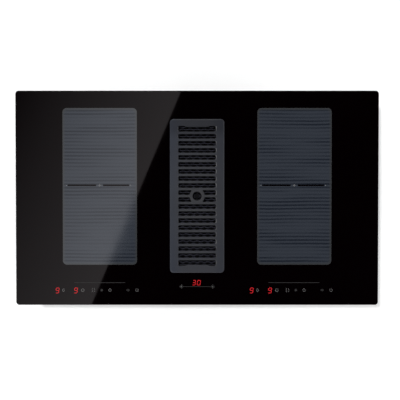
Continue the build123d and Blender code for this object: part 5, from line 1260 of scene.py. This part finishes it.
# %% Polished copies
SHARP_EDGE = math.radians(34)
SAME_POINT = 2e-6
FLAT_ANGLE = math.radians(0.4)
POLISH = {
    "worktop_gasket": 0.3, "glass_brackets": 0.15, "base_tray": 0.3, "worktop_clips": 0.12,
    "intake_well": 0.3, "filter_frame": 0.25, "grille_feet": 0.15,
    "terminal_box": 0.3, "terminal_lid": 0.4, "cable_grommet": 0.25, "fan_box": 0.3,
    "driver_housing": 0.8, "scroll_lower": 0.3, "scroll_upper": 0.3, "blower_wheel": 0.3,
    "wheel_blades": 0.2, "fan_motor": 0.4, "motor_shaft": 0.3, "outlet_adapter": 0.3,
    "overflow_drawer": 0.5, "drawer_rails": 0.15, "shutter_blade_1": 0.2, "shutter_blade_2": 0.2,
    "shutter_blade_3": 0.2, "cooling_fan_left": 0.3, "cooling_fan_right": 0.3,
    "cooling_rotor_left": 0.2, "cooling_rotor_right": 0.2, "heatsinks": 0.1,
    "board_components": 0.5, "mains_filter": 0.5, "terminal_block": 0.4, "coil_springs": 0.1}


def smooth_all(bm):
    for face in bm.faces:
        face.smooth = True


def welded_copy(part, distance):
    """The part's mesh with its loose triangles joined."""
    bm = bmesh.new()
    bm.from_mesh(frame["nodes"][part].data)
    bmesh.ops.remove_doubles(bm, verts=bm.verts, dist=distance)
    return bm


def merged_copy(part):
    """The part's mesh with its flat faces made whole."""
    bm = welded_copy(part, SAME_POINT)
    bmesh.ops.dissolve_degenerate(bm, edges=bm.edges, dist=SAME_POINT / 2)
    bmesh.ops.dissolve_limit(bm, angle_limit=FLAT_ANGLE, verts=bm.verts, edges=bm.edges,
                             use_dissolve_boundaries=False)
    return bm


def modified(mesh, name, kind, **settings):
    """A new mesh: the given one with a modifier applied."""
    host = linked(name + "_host", mesh)
    modifier = host.modifiers.new(name, kind)
    for key, value in settings.items():
        setattr(modifier, key, value)
    return evaluated(host, name)


def polish(part, bevel):
    """A copy with rounded edges and smooth curves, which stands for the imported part.

    Its normals are weighted by face area, so a wide flat face looks flat up to its round.
    """
    bm = merged_copy(part)
    smooth_all(bm)
    mesh = bpy.data.meshes.new(part + "_merged")
    bm.to_mesh(mesh)
    bm.free()
    mesh = modified(mesh, part + "_rounded", "BEVEL", width=bevel * MM, segments=2,
                    limit_method="ANGLE", angle_limit=SHARP_EDGE)
    mesh.set_sharp_from_angle(angle=SHARP_EDGE)
    mesh = modified(mesh, part + "_polished", "WEIGHTED_NORMAL", weight=100, keep_sharp=True)
    mesh.materials.clear()
    mesh.materials.append(FINISHES[SLOT_OF[part]])
    place_piece(mesh, mesh.name, part)


for part, bevel in POLISH.items():
    polish(part, bevel)

# %% [markdown]
# ## Finger pull
#
# Under the round hole of the grille sits a small black pull that lifts the filter out. Its face
# has four pockets with a cross between them, so that a fingertip can turn and grip it. It is one
# round outline with four softened quarter outlines sunk into it.

# %% Finger pull
# The pockets' floors and lower walls are coloured nearly black: painted shade in the recesses.
pocket_shade_paint = grained("pull_pocket", (0.0015, 0.0015, 0.002), 0.6)
PULL_CENTER = Vector((0.0, 5.0))
PULL_RADIUS = 12.0
POCKET_RADIUS = 9.8
POCKET_CORNER = 0.8
CROSS_HALF = 1.25


def pocket_outline(quarter):
    reach = math.degrees(math.asin(CROSS_HALF / POCKET_RADIUS))
    bow = arc(ORIGIN, POCKET_RADIUS, quarter * 90 + reach, quarter * 90 + 90 - reach, 8)
    corner = quarter_turned([(CROSS_HALF, CROSS_HALF)], quarter)
    radii = [POCKET_CORNER] + [0] * (len(bow) - 2) + [POCKET_CORNER] * 2
    return [p + PULL_CENTER for p in soften(bow + corner, radii)]


def make_finger_pull():
    *_, low, high = plan_of("filter_pull")
    bm = bmesh.new()
    rim = [(-0.5, low), (0.0, low + 0.5)] + quarter_round(0.9, high, 4)
    sides = skin_stack(bm, [loop_at(bm, circle(PULL_CENTER, PULL_RADIUS + offset, 48), height)
                            for offset, height in rim])
    bm.faces.new(sides[0][::-1])
    tops = [sides[-1]]
    pocket_rim = [(1.0, low + 1.0), (0.4, low + 1.2), (0.35, high - 0.35), (0.0, high)]
    for quarter in range(4):
        rings = add_walls(bm, pocket_outline(quarter), pocket_rim, hole=True)
        bm.faces.new(rings[0])
        # The faces deep in a pocket take the painted shade.
        deep = {vert for ring in rings[:-1] for vert in ring}
        for face in bm.faces:
            face.material_index |= int(deep.issuperset(face.verts))
        tops.append(rings[-1])
    fill_flat(bm, tops)
    finish_piece(bm, "finger_pull", [FINISHES["pull_plastic"], pocket_shade_paint], "filter_pull")


make_finger_pull()

# %% [markdown]
# ## Small parts set on a surface
#
# Screws and weld spots repeat by the dozen. Each is made once, and a node tree sets copies of it
# on given points, turned to a direction that each point carries. The points come from the packed
# screws, or from a ray that finds the sheet metal, so nothing hovers or sinks.

# %% Placing tree
def placing_tree():
    tree = new_tree("small_parts", {"Part": "Object", "Size": "Float"})
    part = grow(tree, "ObjectInfo", {"Object": given(tree, "Part")}, "Geometry")
    facing = grow(tree, "InputNamedAttribute", {"Name": "facing"}, "Attribute",
                  data_type="FLOAT_VECTOR")
    turn = node(tree, "FunctionNodeAlignRotationToVector", {"Vector": facing}, axis="Z")
    return end_tree(tree, grow(tree, "InstanceOnPoints", {
        "Points": given(tree, "Geometry"), "Instance": part, "Rotation": turn,
        "Scale": given(tree, "Size")}))


PLACING = placing_tree()
RECESS_TAPER = 0.55
SMALL_EDGE = math.radians(38)


def set_on_points(name, shape, spots, finish, part, replacing=True):
    """Copies of one small mesh on (point, direction) spots, as one piece."""
    seed = bpy.data.meshes.new(name + "_points")
    seed.from_pydata([point for point, _ in spots], [], [])
    facing = seed.attributes.new("facing", "FLOAT_VECTOR", "POINT")
    for item, (_, direction) in zip(facing.data, spots):
        item.vector = direction
    single = linked(name + "_single", shape)
    mesh = grown_mesh(PLACING, name, seed, {"Part": single, "Size": 1.0, "Material": finish})
    bpy.data.objects.remove(single)
    place_piece(mesh, name, part, replacing)


def turned_shape(name, profile, steps, recess=(), recess_low=0.0):
    """A turned shape from (radius, height) rings, with an optional recess in its flat top."""
    bm = bmesh.new()
    rings = skin_stack(bm, [loop_at(bm, circle(ORIGIN, radius, steps), height)
                            for radius, height in profile], closed=not recess)
    if recess:
        top = loop_at(bm, recess, profile[-1][1])
        deep = loop_at(bm, [p * RECESS_TAPER for p in recess], recess_low)
        skin_loops(bm, top, deep)
        fill_flat(bm, [rings[-1], top])
        bm.faces.new(deep)
        bm.faces.new(rings[0][::-1])
    smooth_all(bm)
    mesh = as_mesh(bm, name)
    mesh.set_sharp_from_angle(angle=SMALL_EDGE)
    return mesh


# %% Pan-head screws
HEAD_HEIGHT = 2.2
RECESS_LOW = 0.7
SHANK_REACH = 3.4
CROSS = [p for k in range(4) for p in quarter_turned([(0.5, 0.5), (0.5, 1.9), (-0.5, 1.9)], k)]
SCREW_PROFILE = [(1.0, -7.0), (2.0, -6.2), (2.0, 0.0), (3.6, 0.0), (3.8, 0.25), (3.8, 0.9),
                 (3.55, 1.5), (3.0, 1.95), (2.3, HEAD_HEIGHT)]


def loose_parts(part):
    """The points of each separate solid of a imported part."""
    bm = welded_copy(part, SAME_POINT / 2)
    waiting, solids = set(bm.verts), []
    while waiting:
        stack, found = [waiting.pop()], []
        while stack:
            vert = stack.pop()
            found.append(vert.co.copy())
            near = {edge.other_vert(vert) for edge in vert.link_edges} & waiting
            waiting -= near
            stack += near
        solids.append(found)
    bm.free()
    return solids


def screw_spot(points):
    """The seat of a screw's head, and the way that it faces: to the wider end."""
    low, high = [Vector([pick(p[k] for p in points) for k in range(3)]) for pick in (min, max)]
    seat = (low + high) / 2
    axis = max(range(3), key=lambda k: high[k] - low[k])
    head = [p[axis] - seat[axis] for p in points if math.hypot(
        *[p[k] - seat[k] for k in range(3) if k != axis]) > SHANK_REACH * MM]
    side = 1 if sum(head) > 0 else -1
    seat[axis] = (high if side > 0 else low)[axis] - side * HEAD_HEIGHT * MM
    return seat, Vector([side if k == axis else 0 for k in range(3)])


pan_screw = turned_shape("pan_screw_shape", SCREW_PROFILE, 20, CROSS, RECESS_LOW)
spots = [screw_spot(points) for points in loose_parts("housing_screws")]
set_on_points("pan_head_screws", pan_screw, spots, FINISHES["screw_steel"], "housing_screws")

# %% [markdown]
# ## Weld spots and pressed beads
#
# The tray and the fan box are folded sheet metal. Such boxes are spot-welded along their seams,
# and long shallow beads are pressed into their flat walls to keep them from drumming. Both are
# put where a ray meets the flat sheet, and left out where there is a hole or another part.

# %% Rays on the sheet metal
SEAT_REACH = 12.0
BLOCKING_GAP = 0.2
FLAT_WITHIN = 0.1


def surface_tree(part):
    bm = merged_copy(part)
    tree = BVHTree.FromBMesh(bm)
    bm.free()
    return tree


OTHERS = {part: surface_tree(part) for part in (
    "housing_screws", "outlet_adapter", "terminal_box", "terminal_lid", "worktop_clips",
    "glass_brackets", "overflow_drawer", "fan_box")}
SURFACES = {**OTHERS, "base_tray": surface_tree("base_tray")}


def seat_on(part, point, direction):
    """Where a ray against the direction meets the sheet, or None where the sheet isn't free."""
    start = (point + direction * SEAT_REACH) * MM
    hit, normal, _, length = SURFACES[part].ray_cast(start, -direction, 2 * SEAT_REACH * MM)
    if hit is None or normal.dot(direction) < 0.99:
        return None
    for other in OTHERS.values():
        if other.ray_cast(start, -direction, length - BLOCKING_GAP * MM)[0] is not None:
            return None
    return hit


def free_spot(part, point, direction, around):
    """The seat of a spot whose surroundings are flat and free too."""
    seat = seat_on(part, point, direction)
    if seat is None:
        return None
    for offset in around:
        other = seat_on(part, point + offset, direction)
        if other is None or abs((other - seat).dot(direction)) > FLAT_WITHIN * MM:
            return None
    return seat


# %% Weld spots
FREE_RADIUS = 4.0
WELD_ROWS = [("fan_box", (-160, 190, -72), (160, 190, -72), (0, 1, 0), 9),
             ("fan_box", (-160, 190, -190), (-160, 190, -90), (0, 1, 0), 5)]
for side in (-1, 1):
    WELD_ROWS += [
        ("fan_box", (side * 160, -225, -190), (side * 160, -225, -72), (0, -1, 0), 6),
        ("fan_box", (side * 170, -212, -196), (side * 170, 178, -196), (side, 0, 0), 12),
        ("base_tray", (side * 408, -230, -58), (side * 408, 230, -58), (0, 0, -1), 13),
        ("base_tray", (-400, side * 238, -50), (400, side * 238, -50), (0, side, 0), 21),
        ("base_tray", (side * 418, -220, -50), (side * 418, 220, -50), (side, 0, 0), 12)]
weld_shape = turned_shape("weld_shape", [(2.7, -0.15), (2.6, 0.08), (2.1, 0.3), (1.5, 0.12)], 10)
weld_metal = grained("weld_spot", (0.44, 0.45, 0.46), 0.42, 0.5, contrast=0.3)


def weld_spots():
    spots = []
    for part, start, end, direction, count in WELD_ROWS:
        start, end, direction = Vector(start), Vector(end), Vector(direction)
        first = direction.orthogonal().normalized()
        second = direction.cross(first)
        around = [first * p.x + second * p.y for p in circle(ORIGIN, FREE_RADIUS, 8)]
        for k in range(count):
            seat = free_spot(part, start.lerp(end, k / (count - 1)), direction, around)
            if seat is not None:
                spots.append((seat, direction))
    return spots


spots = weld_spots()
print("weld spots", len(spots))
set_on_points("spot_welds", weld_shape, spots, weld_metal, "base_tray", replacing=False)

# %% Pressed beads
BEAD_WIDTH = 9.0
CHECKS_ALONG = (0.2, 0.4, 0.6, 0.8, 1.04)
CHECKS_ACROSS = (-1.2, 0, 1.2)
BEAD_SECTION = [(-0.2, -0.15), (0.0, 0.05), (0.7, 0.55), (1.7, 1.0), (3.0, 1.25)]
BEADS = [("fan_box", (side * 170, y, -128), (side, 0, 0), (0, 0, 1), 96)
         for side in (-1, 1) for y in range(-170, 131, 60)]
BEADS += [("fan_box", (x, -225, -108), (0, -1, 0), (1, 0, 0), 110) for x in (-80, 80)]
BEADS += [("base_tray", (side * 295, y, -58), (0, 0, -1), (1, 0, 0), 170)
          for side in (-1, 1) for y in range(-200, 201, 40)]


def add_bead(bm, part, place, normal, along, length):
    """A bead where the sheet is free all along it; tells whether it was made."""
    place, normal, along = Vector(place), Vector(normal), Vector(along)
    across = normal.cross(along)
    around = [along * s * length / 2 * t + across * w * BEAD_WIDTH / 2
              for s in (-1, 1) for t in CHECKS_ALONG for w in CHECKS_ACROSS]
    seat = free_spot(part, place, normal, around)
    if seat is None:
        return False
    rings = []
    for inset, height in BEAD_SECTION:
        loop = rounded_box(length - 2 * inset, BEAD_WIDTH - 2 * inset,
                           BEAD_WIDTH / 2 - inset - 0.05, ORIGIN, 5)
        rings.append([bm.verts.new(seat + (along * p.x + across * p.y + normal * height) * MM)
                      for p in loop])
    skin_stack(bm, rings, closed=True)
    return True


def make_pressed_beads():
    bm = bmesh.new()
    made = [add_bead(bm, *row) for row in BEADS]
    smooth_all(bm)
    print("beads", sum(made), "of", len(made))
    finish_piece(bm, "pressed_beads", [FINISHES["galvanised_steel"]], "base_tray",
                 replacing=False)


make_pressed_beads()

# %% [markdown]
# ## Spigot bands and drawer ribs
#
# The flat duct is pushed over the outlet spigot: two low ribs round it hold the duct, and a lip
# stiffens its mouth. The drawer's plate has a few moulded ribs for the fingers.

# %% Spigot bands
SPIGOT_CENTER = (45.82, -155.8)
SPIGOT_SIZE = (222.0, 89.0)
SPIGOT_CORNER = 1.2
BANDS = ((240.2, 243.0, 1.4), (229.0, 231.0, 0.8), (222.0, 224.0, 0.8))
BAND_SINK = 0.3


def make_spigot_bands():
    """Closed rings round the spigot, a little sunk into its wall."""
    bm = bmesh.new()
    spigot = rounded_box(*SPIGOT_SIZE, SPIGOT_CORNER, SPIGOT_CENTER, 5)
    for low, high, proud in BANDS:
        edge = min(0.5, proud / 2)
        section = [(-BAND_SINK, low), (0.0, low), (proud - edge, low), (proud, low + edge),
                   (proud, high - edge), (proud - edge, high), (0.0, high), (-BAND_SINK, high)]
        rings = [[bm.verts.new((p.x * MM, y * MM, p.y * MM)) for p in grown(spigot, offset)]
                 for offset, y in section]
        skin_stack(bm, rings + rings[:1])
    finish_piece(bm, "spigot_bands", [FINISHES["scroll_plastic"]], "outlet_adapter",
                 replacing=False)


make_spigot_bands()

# %% Drawer ribs
RIB_SECTION = ((0.0, -0.2), (0.0, 0.3), (0.25, 0.65), (0.6, 0.8))
RIB_SIZE = (1.8, 20.0)
RIB_CORNER = 0.85
RIB_PITCH = 6.0
BEFORE_DRAWER = (-260.0, -188.0)
FORWARDS = Vector((0, -1, 0))


def rib_shape():
    bm = bmesh.new()
    skin_stack(bm, [loop_at(bm, rounded_box(*[size - 2 * inset for size in RIB_SIZE],
                                            RIB_CORNER - inset, ORIGIN, 3), height)
                    for inset, height in RIB_SECTION], closed=True)
    return as_mesh(bm, "rib_shape")


def rib_spots():
    for k in range(-6, 7):
        start = Vector((k * RIB_PITCH, *BEFORE_DRAWER)) * MM
        seat = SURFACES["overflow_drawer"].ray_cast(start, -FORWARDS)[0]
        if seat is not None:
            yield seat, FORWARDS


set_on_points("drawer_ribs", rib_shape(), list(rib_spots()), FINISHES["drawer_plastic"],
              "overflow_drawer", replacing=False)

# %% [markdown]
# ## Windings
#
# Each induction winding is one length of stranded copper, wound flat from the outside in. The
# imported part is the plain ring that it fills. Here the path is written turn by turn: a point
# slides from one outline to the next smaller one as it goes round, and a node tree gives the path
# its round section.

# %% Windings
STRAND_RADIUS = 1.45
TURN_PITCH = 3.05
TURN_CORNER = 50.0
LEAST_CORNER = 18.0
EYE_SHARE = 0.35


def wire_tree():
    tree = new_tree("wound_wire", {"Radius": "Float", "Sides": "Int"})
    path = grow(tree, "MeshToCurve", {"Mesh": given(tree, "Geometry")})
    tube = swept(tree, path, "Circle", {"Resolution": given(tree, "Sides"),
                                        "Radius": given(tree, "Radius")})
    return end_tree(tree, grow(tree, "SetShadeSmooth", {"Geometry": tube}))


WIRE = wire_tree()


def turn_outline(width, depth, center, inset):
    return rounded_box(width - 2 * inset, depth - 2 * inset,
                       max(LEAST_CORNER, TURN_CORNER - inset), center, 8)


def winding_path(part):
    """The spiral between the ring's outline and its eye, as points."""
    width, depth, center, _, high = plan_of(part)
    points = [vert.co.xy / MM - Vector(center) for vert in frame["nodes"][part].data.vertices]
    eye = [p for p in points if abs(p.x) < width * EYE_SHARE and abs(p.y) < depth * EYE_SHARE]
    room = min(width / 2 - max(p.x for p in eye), depth / 2 - max(p.y for p in eye))
    turns = int((room - 2 * STRAND_RADIUS) / TURN_PITCH)
    path = []
    for turn in range(turns):
        here, there = [turn_outline(width, depth, center, STRAND_RADIUS + k * TURN_PITCH)
                       for k in (turn, turn + 1)]
        path += [a.lerp(b, k / len(here)) for k, (a, b) in enumerate(zip(here, there))]
    print(part, "turns", turns)
    return [Vector((p.x, p.y, high - STRAND_RADIUS)) * MM for p in path]


def make_winding(part):
    path = winding_path(part)
    seed = bpy.data.meshes.new(part + "_path")
    seed.from_pydata(path, [(k, k + 1) for k in range(len(path) - 1)], [])
    mesh = grown_mesh(WIRE, part + "_turns", seed, {
        "Radius": STRAND_RADIUS * MM, "Sides": 8, "Material": FINISHES["litz_copper"]})
    place_piece(mesh, part + "_turns", part)


for part in frame["nodes"]:
    if part.startswith("coil_winding"):
        make_winding(part)

# %% Colours of the view, and the end
bpy.context.scene.view_settings.view_transform = "Standard"
